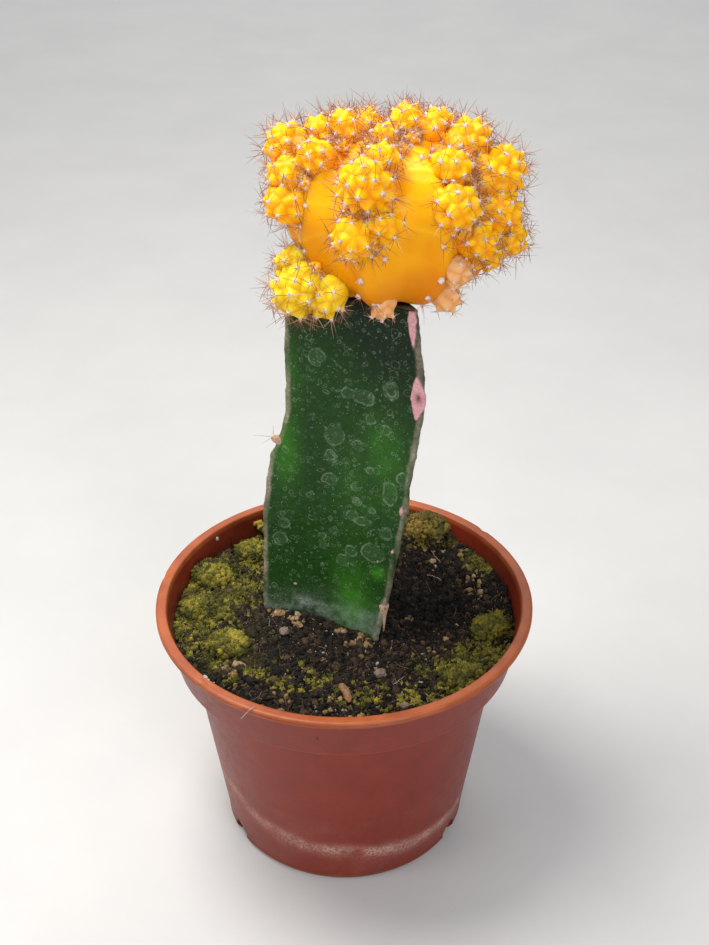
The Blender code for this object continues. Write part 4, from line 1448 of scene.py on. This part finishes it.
# %% The scion's form
SCION_CENTRE = np.array([9.5, 4.0, 150.0])
SCION_RADIUS, SCION_DEPTH_SCALE = 18.5, 0.95
SCION_UP, SCION_DOWN, UP_POWER, DOWN_POWER = 16.5, 15.3, 2.8, 2.45
SCION_RIBS, RIB_BEARING, RIB_HEIGHT = 8, -59.5, 0.05
BAND_SPACING = 6.2
CROWN_DIP = 1.5
FOLDS = (  # paths of (bearing, tilt), how deep each is, and how wide
    (((-62, 62), (-56, 52), (-50, 44)), 0.7, 1.1),
    (((78, 66), (52, 55), (38, 45)), 0.6, 1.2),
    (((-4, 66), (-2, 50), (4, 38)), 0.5, 1.3),
    (((-40, 0), (-30, -10), (-24, -18)), 0.45, 1.0),
    (((-88, 18), (-86, -8), (-70, -24)), 0.5, 1.2),
    (((22, 4), (24, -10), (31, -24)), 0.35, 1.4),
)


def directions_at(bearing, tilt):
    side, up = np.radians(bearing), np.radians(tilt)
    return np.stack([np.sin(side) * np.cos(up), -np.cos(side) * np.cos(up), np.sin(up)], axis=-1)


def crest_offset(directions):
    """How far each direction's bearing is from the nearest rib crest, in radians."""
    bearing = np.arctan2(directions[:, 0], -directions[:, 1]) - math.radians(RIB_BEARING)
    step = 2 * math.pi / SCION_RIBS
    return (bearing + step / 2) % step - step / 2


def scion_reach(directions):
    """The plain ribbed body, a touch fuller underneath than the CAD's, where it sits on the graft."""
    level = np.hypot(directions[:, 0], directions[:, 1] / SCION_DEPTH_SCALE)
    up = directions[:, 2] > 0
    height, power = np.where(up, SCION_UP, SCION_DOWN), np.where(up, UP_POWER, DOWN_POWER)
    body = ((level / SCION_RADIUS) ** power + (np.abs(directions[:, 2]) / height) ** power) ** (-1 / power)
    wave = np.cos(SCION_RIBS * crest_offset(directions))
    dip = CROWN_DIP * bell(level, 0.22) * up
    return body * (1 + RIB_HEIGHT * wave * level**1.5) - dip


def path_distance(directions, path):
    """How far each direction is from a path over the head, in millimetres on the skin."""
    stops = directions_at(*np.array(path, float).T)
    best = np.full(len(directions), 1e9)
    for start, end in itertools.pairwise(stops):
        run = end - start
        share = np.clip((directions - start) @ run / (run @ run), 0, 1)
        away = np.linalg.norm(directions - start - share[:, None] * run, axis=1)
        best = np.minimum(best, away)
    return best * SCION_RADIUS


def scion_detail(directions):
    """Ridges, bands and folds to add to the reach, and the mask of the pale bands."""
    level = np.hypot(directions[:, 0], directions[:, 1])
    beside = crest_offset(directions) * SCION_RADIUS * level
    tilt = np.arcsin(np.clip(directions[:, 2], -1, 1))
    down = (math.pi / 2 - tilt) * SCION_RADIUS + 0.5 * np.abs(beside)
    down = down + 0.8 * noise(directions * 5, 1.0, 90, 2)
    phase = (down / BAND_SPACING + 0.3 * np.sign(beside)) % 1.0
    from_band = np.minimum(phase, 1 - phase) * BAND_SPACING
    strength = bell(beside, 5.5) * np.clip(0.5 + 1.1 * noise(directions * 3, 1.0, 91, 2), 0, 1)
    strength *= np.clip((tilt + 0.25) / 0.5, 0.12, 1)
    band = bell(from_band, 0.42) * strength
    crease = bell(from_band - 1.3, 1.0) * strength
    fin = 0.7 + 1.5 * bell(bearing_of(directions) + 104.5, 14) * bell(tilt + 0.05, 0.45)
    ridge = fin * bell(beside, 1.9) * np.clip(level * 2 - 0.6, 0, 1)
    swell = 0.45 * noise(directions * SCION_RADIUS, 9.0, 92, 2)
    fine = 0.035 * noise(directions * SCION_RADIUS, 1.4, 93, 3)
    folds = np.zeros(len(directions))
    for path, deep, wide in FOLDS:
        away = path_distance(directions, path) + 0.3 * noise(directions * SCION_RADIUS, 3.0, 94, 2)
        folds += deep * bell(away, wide)
    return ridge + swell + fine + 0.10 * band - 0.22 * crease - folds, band, np.clip(folds, 0, 1)


# %% [markdown]
# Waxy flesh glows: light goes in, scatters and comes out yellow. Subsurface scattering does that,
# with red travelling furthest. The colour runs from golden on top to deep orange beneath, partly
# the flesh's own and partly light painted from above. The bands are paler, the tips of the
# tubercles are painted paler as highlights, and the folds and creases are painted redder and darker as shade.

# %% Yellow flesh
def flesh(name, low, high, fold, pale, depth, dotted=False):
    """Flesh that runs from low to high with painted light and its own tone, with folds painted as shade, pale
    marks and perhaps dots.
    """
    made, tree, shader = new_material(name, 0.40, 0.14)
    # Low to high is painted light: darker in creases and below, lighter on tops and tubercle tips; on the
    # scion it is partly the flesh's own deeper orange at the base.
    colour = mix_colour(tree, attribute(tree, "painted_light_and_tone"), low, high)
    cloudy = mottled(tree, (0.93, 0.90, 0.9), (1.0, 1.06, 1.0), 0.35, 1.1)
    colour = mix_colour(tree, 0.8, colour, cloudy.outputs["Colour"], "MULTIPLY")
    # Folds and creases are painted redder and darker, as shade.
    colour = mix_colour(tree, attribute(tree, "fold"), colour, fold)
    specks = mottled(tree, (0, 0, 0), (1, 1, 1), 2.6, 0.35)
    broken = calculate(tree, "MULTIPLY_ADD", specks.outputs["Mask"], 0.8, 0.25)
    # Pale marks: the scion's own bands, and painted highlights on the offsets' tubercle tips.
    marked = calculate(tree, "MULTIPLY", attribute(tree, "pale"), broken, clamp=True)
    colour = mix_colour(tree, marked, colour, pale)
    if dotted:
        dots = use_group(tree, DROPS, Drops_per_mm=1.3, Smallest=-0.15, Largest=0.17, Line=0.05)
        colour = mix_colour(tree, times(tree, dots.outputs["Inside"], 0.65), colour, (0.25, 0.025, 0.02))
    pores = mottled(tree, (0, 0, 0), (1, 1, 1), 5.0, 0.6)
    rough = calculate(tree, "MULTIPLY_ADD", pores.outputs["Mask"], 0.12, 0.34)
    feed_named(tree, shader, Base_Color=colour, Roughness=rough)
    glow(shader, 0.35, (1.0, 0.42, 0.05), depth)
    relief(tree, shader, 0.22, 0.02, 3.0)
    return made


SCION_GLOW, OFFSET_GLOW = 0.0022, 0.0014  # how deep light goes, in metres
SCION_FLESH = flesh(
    "scion flesh", (0.60, 0.135, 0.001), (1.0, 0.49, 0.002), (0.76, 0.17, 0.001), (1.0, 0.68, 0.03),
    SCION_GLOW,
)


def build_scion():
    directions, faces = BALLS[7]
    more, band, fold = scion_detail(directions)
    points = SCION_CENTRE + directions * (scion_reach(directions) + more)[:, None]
    points[:, 2] = np.maximum(points[:, 2], STEM_TOP - 0.4)
    height = (points[:, 2] - SCION_CENTRE[2]) / SCION_UP
    # Lighter towards the top: partly the flesh's own colour, partly light painted from above. The fold mask
    # paints shade in the folds.
    painted_light_and_tone = np.clip(0.60 + 0.56 * height + 0.30 * noise(points, 8.0, 95, 2), 0, 1)
    masks = {"painted_light_and_tone": painted_light_and_tone, "fold": fold * 0.9, "pale": band}
    belongs(mesh_piece("scion_skin", points, faces, SCION_FLESH, masks=masks), "yellow_skin", "scion")


build_scion()
print("scion faces:", len(BALLS[7][1]))

# %% [markdown]
# ## The offsets
# Each offset is a whole small cactus that has sprouted from a spine cushion and crowds its
# neighbours. Its skin is cone-shaped tubercles packed in spirals, and each tubercle carries one
# spine cushion on its tip. Seeds in a sunflower sit the same way, each a golden angle on from the
# last, so the tips are placed by that rule. The skin then follows the CAD ball, pulled in between
# the tips. Small buds fill the gaps.

# %% Where the tubercles go
GOLDEN_ANGLE = math.pi * (3 - math.sqrt(5))
OFFSET_COUNT = 38
YOUNG = (28, 29, 30)  # the pinkish ones under the head
LEMON = (25, 26, 27)  # the greenish-yellow cluster at the lower left


def tip_directions(outward, count, widest, seed):
    """Tubercle tips in a golden spiral round the outward axis, closer together at its top."""
    chance = np.random.default_rng(seed)
    order = (np.arange(count) + 0.35) / count
    lean = np.radians(widest) * order**0.58
    angle = np.arange(count) * GOLDEN_ANGLE + chance.uniform(0, 2 * math.pi)
    side = unit(np.cross(outward, (0.31, 0.17, 0.93)))
    other = np.cross(outward, side)
    ring = side * np.cos(angle)[:, None] + other * np.sin(angle)[:, None]
    made = outward * np.cos(lean)[:, None] + ring * np.sin(lean)[:, None]
    return unit(made + chance.normal(size=made.shape) * 0.075)


def nearest_two(directions, tips):
    """Angles from each direction to its nearest and second nearest tip."""
    angles = np.arccos(np.clip(directions @ tips.T, -1, 1))
    angles.partition(1, axis=1)
    return angles[:, 0], angles[:, 1]


# %% Growing an offset
TIP_SHARPNESS = 1.35


def tubercled(directions, reach, tips, depth):
    """The reach, pulled in between tips, with how near each point is to a tip from 0 to 1."""
    first, second = nearest_two(directions, tips)
    gap = 2 * first / np.maximum(first + second, 1e-6)
    rise = 1 - gap**TIP_SHARPNESS
    return reach * (1 - depth * (1 - rise)) + 0.18 * bell(first * reach, 0.5), rise


OFFSET_FLESH = flesh(
    "offset flesh", (0.93, 0.36, 0.002), (1.0, 0.57, 0.003), (0.84, 0.22, 0.001), (1.0, 0.72, 0.06),
    OFFSET_GLOW,
)
LEMON_FLESH = flesh(
    "lemon flesh", (0.78, 0.40, 0.004), (0.90, 0.70, 0.02), (0.60, 0.28, 0.003), (0.94, 0.84, 0.25),
    OFFSET_GLOW,
)
YOUNG_FLESH = flesh(
    "young flesh", (0.74, 0.32, 0.08), (0.82, 0.47, 0.22), (0.66, 0.20, 0.05), (0.86, 0.56, 0.38),
    OFFSET_GLOW, dotted=True,
)


def offset_finish(number):
    if number in LEMON:
        return LEMON_FLESH
    return YOUNG_FLESH if number in YOUNG else OFFSET_FLESH


def build_offset(number):
    """One offset's skin. It gives back what its wool and spines need."""
    node = f"offset_{number:02d}"
    middle, _, _, coarse = envelope(node, 2)
    size = coarse.mean()
    level = 6 if size > 3.0 else 5
    middle, directions, faces, reach = envelope(node, level)
    reach = smoothed(reach, faces, 40 if level == 6 else 12) + (0.3 if number in YOUNG else 0.75)
    outward = unit(middle - SCION_CENTRE + (0, 0, 2.0))
    inward_share = np.clip(-(directions @ unit(middle - SCION_CENTRE)), 0, 1)
    young = number in YOUNG
    count = round(3 + 0.9 * size**1.55) if young else round(4 + 2.1 * size**1.55)
    tips = tip_directions(outward, count, 85 if young else 118, 900 + number)
    depth = (0.27 if young else 0.195) * (1 - 0.9 * inward_share)
    depth = depth * (1 + 0.75 * noise(directions * 1.3 + number * 5, 1.0, 97, 1))
    grown, rise = tubercled(directions, reach, tips, depth)
    grown = smoothed(grown, faces, 3) + 0.10 * noise(directions * size + number * 11, 1.6, 96, 2) + 0.10
    grown += (1.0 if number in LEMON else 2.0) * inward_share**1.4
    points = middle + directions * grown[:, None]
    # Painted light and shade: tubercle tips and tops lighter, creases darker and redder, tips paler as
    # highlights.
    painted_light_and_tone = np.clip(rise * 0.75 + 0.30 * (points[:, 2] - middle[2]) / size + 0.22, 0, 1)
    masks = {
        "painted_light_and_tone": painted_light_and_tone,
        "fold": np.clip(0.6 - rise * 2.0, 0, 1) * 0.6,
        "pale": np.clip(rise * 1.6 - 0.85, 0, 1) * 0.5,
    }
    piece = mesh_piece(f"{node}_skin", points, faces, offset_finish(number), masks=masks)
    belongs(piece, "offset_skin", node)
    tip_reach = np.array([grown[np.argmax(directions @ tip)] for tip in tips])
    return {
        "number": number, "middle": middle, "size": size, "outward": outward,
        "tips": tips, "reach": tip_reach,
    }


offsets = [build_offset(number) for number in range(1, OFFSET_COUNT + 1)]
print("tubercles:", sum(len(offset["tips"]) for offset in offsets))

# %% Buds between the offsets
BUDS = (  # bearing, tilt and radius of each
    (-84, 16, 1.5), (-62, 30, 1.4), (-82, 54, 1.5), (-112, 60, 1.6), (-60, 56, 1.3), (-88, 24, 1.4),
    (-78, 40, 1.3), (-42, 70, 1.5), (-30, 62, 1.3), (-26, 68, 1.2), (0, 80, 1.6), (12, 66, 1.2),
    (46, 74, 1.5), (72, 76, 1.3), (112, 64, 1.6), (62, 40, 1.7), (62, 16, 1.6), (46, 13, 1.4),
    (86, 12, 1.7), (94, 36, 1.6), (58, 33, 1.4), (-14, 26, 1.6), (-28, 22, 1.3), (-4, 44, 1.4),
    (-30, 46, 1.2), (-32, 4, 1.2), (-12, 6, 1.3), (-50, -14, 1.3), (170, 45, 1.7), (-140, 10, 1.5),
    (155, 10, 1.6), (125, 45, 1.7), (-160, 25, 1.6), (-120, 20, 1.5), (110, 2, 1.5),
)
BUD_DEPTH = 0.3


def joined(parts):
    """Several (points, faces, values) as one set."""
    starts = np.cumsum([0] + [len(part[0]) for part in parts[:-1]])
    points = np.concatenate([part[0] for part in parts])
    faces = np.concatenate([part[1] + start for part, start in zip(parts, starts)])
    return points, faces, np.concatenate([part[2] for part in parts])


def build_buds():
    """Offsets that have only just sprouted, in one mesh. It gives back their cushions."""
    directions, faces = BALLS[4]
    parts, places, normals = [], [], []
    for number, (bearing, tilt, size) in enumerate(BUDS):
        outward = directions_at(bearing, tilt)
        start = SCION_CENTRE + outward * (scion_reach(outward[None])[0] + 0.5 + 0.3 * size)
        tips = tip_directions(outward, 7, 80, 1300 + number)
        grown, rise = tubercled(directions, np.full(len(directions), size), tips, BUD_DEPTH)
        parts.append((start + directions * grown[:, None], faces, rise))
        places.append(start + tips * size)
        normals.append(tips)
    points, faces, rise = joined(parts)
    # The buds get the same painted light: tips lighter and paler, creases darker.
    masks = {"painted_light_and_tone": np.clip(rise + 0.2, 0, 1), "fold": np.clip(0.5 - rise * 2, 0, 1), "pale": rise * 0.4}
    belongs(mesh_piece("scion_buds", points, faces, OFFSET_FLESH, masks=masks), "offset_skin")
    return np.concatenate(places), np.concatenate(normals)


bud_places, bud_normals = build_buds()
print("buds:", len(BUDS))

# %% [markdown]
# ## Wool and spines
# A cactus spine grows only from a cushion of wool. Each cushion here gets a dented tuft of short felt and a
# ring of seven to nine thin, curved spines that lie out over the skin, with one or two standing up.
# A hair system would be quicker to comb, but it doesn't export; real tubes do. One mesh
# holds all the spines of an offset, and another all its wool.

# %% Wool and spine finishes
def wool():
    made, tree, shader = new_material("wool", 0.9, 0.2)
    felt = mottled(tree, (0.92, 0.82, 0.76), (0.66, 0.48, 0.43), 3.0, 0.6)
    rosy = mix_colour(tree, attribute(tree, "tone"), felt.outputs["Colour"], (0.72, 0.46, 0.42))
    feed_named(tree, shader, Base_Color=rosy)
    shader.inputs["Sheen Weight"].default_value = 0.4
    relief(tree, shader, 0.15, 0.08, 4.0)
    return made


def spine_horn():
    made, tree, shader = new_material("spine", 0.42, 0.4)
    horn = ramp(
        tree,
        attribute(tree, "along"),
        (0.0, (0.50, 0.25, 0.10)),
        (0.25, (0.33, 0.095, 0.03)),
        (0.7, (0.22, 0.05, 0.018)),
        (1.0, (0.11, 0.025, 0.012)),
    )
    # A share of the spines is painted pale, standing in for spines lit from behind.
    colour = mix_colour(tree, attribute(tree, "tone"), horn, (0.66, 0.42, 0.27))
    feed_named(tree, shader, Base_Color=colour)
    relief(tree, shader, 0.3, 0.01, 2.0)
    return made


WOOL, SPINE = wool(), spine_horn()
SPINE_STATIONS = 6
# The pale share of spines is painted backlight.
SHARE_STANDING, SHARE_PAINTED_BACKLIT = 0.16, 0.42  # of all the spines
HAIRS_PER_TUFT, HAIR_STATIONS, HAIR_RADIUS = 14, 4, 0.028


# %% Growing wool and spines on a set of cushions
def grow_spines(places, normals, lengths, seed, counts=(7, 9), pale=SHARE_PAINTED_BACKLIT):
    """Rings of curved spines from each cushion, as points, faces and masks."""
    chance = np.random.default_rng(seed)
    numbers = chance.integers(counts[0], counts[1] + 1, len(places))
    owner = np.repeat(np.arange(len(places)), numbers)
    place_in_ring = np.concatenate([np.arange(number) / number for number in numbers])
    angle = 2 * math.pi * place_in_ring + chance.uniform(-0.3, 0.3, len(owner)) + owner * 1.7
    standing = chance.uniform(0, 1, len(owner)) < SHARE_STANDING
    lean = np.where(standing, chance.uniform(5, 32, len(owner)), chance.uniform(48, 80, len(owner)))
    turns = turned_about(normals, seed + 1)[owner]
    flat = np.stack([np.cos(angle), np.sin(angle), np.zeros(len(owner))], axis=1)
    lean = np.radians(lean)[:, None]
    local = flat * np.sin(lean) + np.array([0, 0, 1.0]) * np.cos(lean)
    way = np.einsum("cij,cj->ci", turns, local)
    length = lengths[owner] * chance.uniform(0.8, 1.7, len(owner))
    share = np.linspace(0, 1, SPINE_STATIONS)[None, :, None]
    bow = normals[owner] * chance.uniform(-0.55, 0.25, (len(owner), 1))
    bow = bow + chance.normal(size=way.shape) * 0.22
    start = places[owner] + way * 0.10
    lines = start[:, None] + way[:, None] * share * length[:, None, None]
    lines = lines + bow[:, None] * (share**2) * length[:, None, None] * 0.5
    thick = chance.uniform(0.058, 0.084, (len(owner), 1)) * np.linspace(1, 0.16, SPINE_STATIONS) ** 0.8
    points, faces = tubes(lines, thick)
    along = np.tile(np.repeat(np.linspace(0, 1, SPINE_STATIONS), 3), len(owner))
    # Pale spines are painted backlight.
    tone = (chance.uniform(0, 1, len(owner)) < pale) * chance.uniform(0.4, 1.0, len(owner))
    return points, faces, {"along": along, "tone": np.repeat(tone, SPINE_STATIONS * 3)}


def grow_wool(places, normals, sizes, seed):
    """A dented felt tuft on each cushion, with short hairs, as points, faces and masks."""
    chance = np.random.default_rng(seed)
    shape = sizes[:, None] * chance.uniform(0.8, 1.2, (len(places), 3)) * (1.0, 1.0, 0.7)
    tone = chance.uniform(0, 0.6, len(places))
    points, faces = lumps(2, places + normals * 0.05, shape, normals, seed, 0.55, 0.5)
    owner = np.repeat(np.arange(len(places)), HAIRS_PER_TUFT)
    way = unit(normals[owner] * 0.7 + chance.normal(size=(len(owner), 3)) * 0.8)
    start = places[owner] + way * sizes[owner, None] * 0.6
    length = sizes[owner] * chance.uniform(0.8, 1.6, len(owner))
    lines = wandering(start, way, length, HAIR_STATIONS, 0.8, seed + 2)
    thick = np.full((len(owner), 1), HAIR_RADIUS) * np.linspace(1, 0.4, HAIR_STATIONS)
    hair_points, hair_faces = tubes(lines, thick)
    tones = np.concatenate([per_point(tone, 2), np.repeat(tone[owner], HAIR_STATIONS * 3)])
    faces = np.concatenate([faces, hair_faces + len(points)])
    return np.concatenate([points, hair_points]), faces, {"tone": tones}


def add_cushions(name, slot, places, normals, wool_sizes, lengths, seed, **spine_choices):
    """Both meshes for one set of cushions."""
    if len(places) == 0:
        return 0
    points, faces, masks = grow_wool(places, normals, wool_sizes, seed)
    belongs(mesh_piece(f"{name}_wool", points, faces, WOOL, masks=masks), slot)
    points, faces, masks = grow_spines(places, normals, lengths, seed + 5, **spine_choices)
    belongs(mesh_piece(f"{name}_spines", points, faces, SPINE, masks=masks), slot)
    return len(faces)


# %% Wool and spines on the offsets
def clear_of_others(places, own):
    """Which cushions stand free of the other offsets, the scion and the stem."""
    free = np.ones(len(places), bool)
    for other in offsets:
        if other["number"] != own:
            away = np.linalg.norm(places - other["middle"], axis=1)
            free &= away > other["size"] * 0.98
    from_scion = places - SCION_CENTRE
    distance = np.linalg.norm(from_scion, axis=1)
    free &= distance > scion_reach(from_scion / distance[:, None]) + 0.3
    for index, place in enumerate(places):
        nearest, normal, _, _ = STEM_TREE.find_nearest(Vector(place))
        free[index] &= (Vector(place) - nearest).dot(normal) > 0.3
    return free


LONG_SPINED = {7: 1.5, 22: 1.3, 8: 1.15, 1: 1.1, 3: 1.1, 25: 1.1}  # by offset number


def dress_offset(offset):
    number, tips = offset["number"], offset["tips"]
    places = offset["middle"] + tips * (offset["reach"] - 0.05)[:, None]
    free = clear_of_others(places, number)
    young = number in YOUNG
    from_top = np.arccos(np.clip(tips @ offset["outward"], -1, 1))
    lengths = np.interp(from_top, (0, 1.0, 2.2), (1.9, 2.7, 2.6)) * (0.6 if young else 1.0)
    lengths = lengths * LONG_SPINED.get(number, 1.0) * np.interp(offset["size"], (2.0, 4.5), (0.8, 1.05))
    sizes = np.interp(from_top, (0, 1.2), (0.34, 0.44)) * (0.8 if young else 1.0)
    return add_cushions(
        f"offset_{number:02d}", "offset_skin", places[free], tips[free], sizes[free], lengths[free],
        1000 + number * 10, counts=(4, 6) if young else (7, 9), pale=0.6 if young else SHARE_PAINTED_BACKLIT,
    )


def dress_buds():
    free = clear_of_others(bud_places, 0)
    places, normals = bud_places[free], bud_normals[free]
    lengths = np.random.default_rng(1450).uniform(1.4, 2.4, len(places))
    sizes = np.full(len(places), 0.3)
    return add_cushions("buds", "offset_skin", places, normals, sizes, lengths, 1460, counts=(5, 7), pale=0.6)


print("spine faces on the offsets:", sum(dress_offset(offset) for offset in offsets))
print("spine faces on the buds:", dress_buds())

# %% [markdown]
# The scion's own cushions run down its rib crests. Most are hidden by offsets that sprouted from
# them; the ones that show are old and woolly with few spines, and are listed. The rest of each
# crest gets a cushion every band, wherever no offset stands in the way.

# %% Wool and spines on the scion
OLD_CUSHIONS = (  # bearing, tilt, wool size, spine length
    (-19.2, -16.2, 0.78, 0.8), (-25.0, -34.0, 0.75, 2.6), (29.5, -17.8, 0.74, 0.7), (25.5, -33.0, 0.6, 0.6),
    (-5.4, -2.3, 0.5, 0.8), (-22.0, -3.2, 0.75, 1.2), (-1.0, 11.8, 0.8, 1.4), (50.0, -6.7, 0.6, 2.4),
    (59.3, 61.0, 0.6, 2.2), (39.6, 49.0, 0.5, 2.4), (-14.0, 60.0, 0.7, 2.0), (-6.0, 66.0, 0.7, 1.8),
    (-30.0, 68.0, 0.6, 2.0), (20.0, 70.0, 0.6, 2.0), (-88.0, -4.0, 0.5, 2.2), (-82.0, 6.0, 0.45, 2.2),
)


def near_an_old_one(bearing, tilt):
    return any(
        abs((bearing - old[0] + 180) % 360 - 180) < 11 and abs(tilt - old[1]) < 9 for old in OLD_CUSHIONS
    )


def crest_cushions():
    """A cushion every band down each crest, wherever nothing else grows."""
    made = []
    for rib in range(SCION_RIBS):
        bearing = RIB_BEARING + 360 / SCION_RIBS * rib
        for tilt in range(72, -46, -13):
            place = (bearing + 2.0 * math.sin(tilt * 7.0), tilt + 4.0 * math.sin(bearing))
            if not near_an_old_one(*place):
                made.append((*place, 0.45, 2.3))
    crown_places = zip(range(-180, 180, 33), [80, 86, 77] * 4)
    return made + [(bearing, tilt, 0.55, 2.4) for bearing, tilt in crown_places]


def dress_scion():
    listed = np.array([*OLD_CUSHIONS, *crest_cushions()])
    directions = directions_at(listed[:, 0], listed[:, 1])
    more = scion_detail(directions)[0]
    places = SCION_CENTRE + directions * (scion_reach(directions) + more)[:, None]
    free = places[:, 2] > STEM_TOP + 1.0
    for offset in offsets:
        away = np.linalg.norm(places - offset["middle"], axis=1)
        free &= away > offset["size"] * 0.9
    normals = unit(directions * (1, 1, 0.9))
    places, normals, sizes, lengths = places[free], normals[free], listed[free, 2], listed[free, 3]
    return add_cushions("scion", "yellow_skin", places, normals, sizes, lengths, 1500, counts=(5, 8))


print("spine faces on the scion:", dress_scion())

# %% [markdown]
# ## Small things on the rootstock
# A few spine cushions were missed by the knife: a tooth on the left rib with its spines still on,
# a corky lump low on the right rib that tails off downwards, and dried scales stuck to the face.
# They are small dented lumps set into the skin, and most are placed by height along a rib.

# %% Cork and dry scales
def cork():
    made, tree, shader = new_material("cork", 0.85, 0.25)
    bark_like = mottled(tree, (0.62, 0.44, 0.30), (0.30, 0.17, 0.11), 1.6, 0.7)
    colour = mix_colour(tree, attribute(tree, "tone"), bark_like.outputs["Colour"], (0.055, 0.025, 0.018))
    feed_named(tree, shader, Base_Color=colour)
    relief(tree, shader, 0.2, 0.1, 4.0)
    return made


CORK = cork()


def rib_place(rib, z):
    """A place on a rib's tip at a height, and the way the rib points."""
    tips = rib_tips(np.array([float(z)]))[0]
    outward = unit(tips[rib] - tips.mean(axis=0))
    return np.array([*(tips[rib] + outward * 0.3), float(z)]), np.array([*outward, 0.0])


def corky_lump(place, outward, wide, high, deep, seed, tail=0.0):
    """A dented lump on a rib, with a dark middle, and drawn out downwards by its tail."""
    directions, faces = BALLS[5]
    side = unit(np.cross(outward, (0, 0, 1.0)))
    local = directions * (wide, high, deep)
    local = local * (1 + 0.22 * noise(directions * 2.2 + seed, 1.0, seed, 3))[:, None]
    below = np.clip(-directions[:, 1], 0, 1)
    local[:, 1] -= tail * below**2
    local[:, 0] *= 1 - 0.72 * below * (tail > 0)
    points = place + local[:, :1] * side + local[:, 1:2] * (0, 0, 1.0) + local[:, 2:] * outward
    dark = np.exp(-(directions[:, 0] ** 2 + (directions[:, 1] - 0.1) ** 2) / 0.05) * (directions[:, 2] > 0)
    return points, faces, dark


FRONT = unit(np.array([-0.28, -0.95, 0.15]))
tooth_place, tooth_way = rib_place(0, 100.9)
low_place, low_way = rib_place(1, 62.3)
low_way = unit(low_way + (-0.25, -0.35, 0))
back_places = [rib_place(2, height) for height in (70.0, 92.0, 114.0)]
lump_parts = [
    corky_lump(tooth_place + (-0.4, 0, 0), unit(tooth_way + (0, -0.3, 0.5)), 0.95, 1.1, 1.5, 120),
    corky_lump(low_place - low_way * 0.2, low_way, 1.15, 1.6, 0.9, 121, tail=5.5),
    corky_lump(np.array([7.7, -5.2, 74.2]), FRONT, 0.75, 0.95, 0.6, 122),
    corky_lump(np.array([7.3, -5.0, 72.0]), FRONT, 0.55, 0.7, 0.35, 123),
    corky_lump(np.array([-15.6, 1.35, 65.6]), FRONT, 1.05, 0.5, 0.5, 124),
    corky_lump(np.array([-11.0, 0.2, 64.2]), FRONT, 0.4, 0.35, 0.3, 125),
]
for number, (place, way) in enumerate(back_places):
    lump_parts.append(corky_lump(place - way * 0.2, way, 0.9, 1.2, 0.8, 130 + number, tail=1.2))
points, faces, dark = joined(lump_parts)
lumps_piece = mesh_piece("rootstock_cork", points, faces, CORK, masks={"tone": dark * 0.8})
belongs(lumps_piece, "green_skin")

# %% The spines left on the rootstock
stem_cushions = [(tooth_place + (-1.3, -0.3, 0.9), unit(np.array([-0.75, -0.2, 0.75])), 3.0)]
stem_cushions += [(place + way * 0.5, way, 2.2) for place, way in back_places]
places, normals, lengths = (np.array([cushion[i] for cushion in stem_cushions]) for i in range(3))
sizes = np.full(len(places), 0.42)
add_cushions("rootstock", "green_skin", places, normals, sizes, lengths, 1700, counts=(3, 4), pale=0.2)
print("cushions on the rootstock:", len(lump_parts))
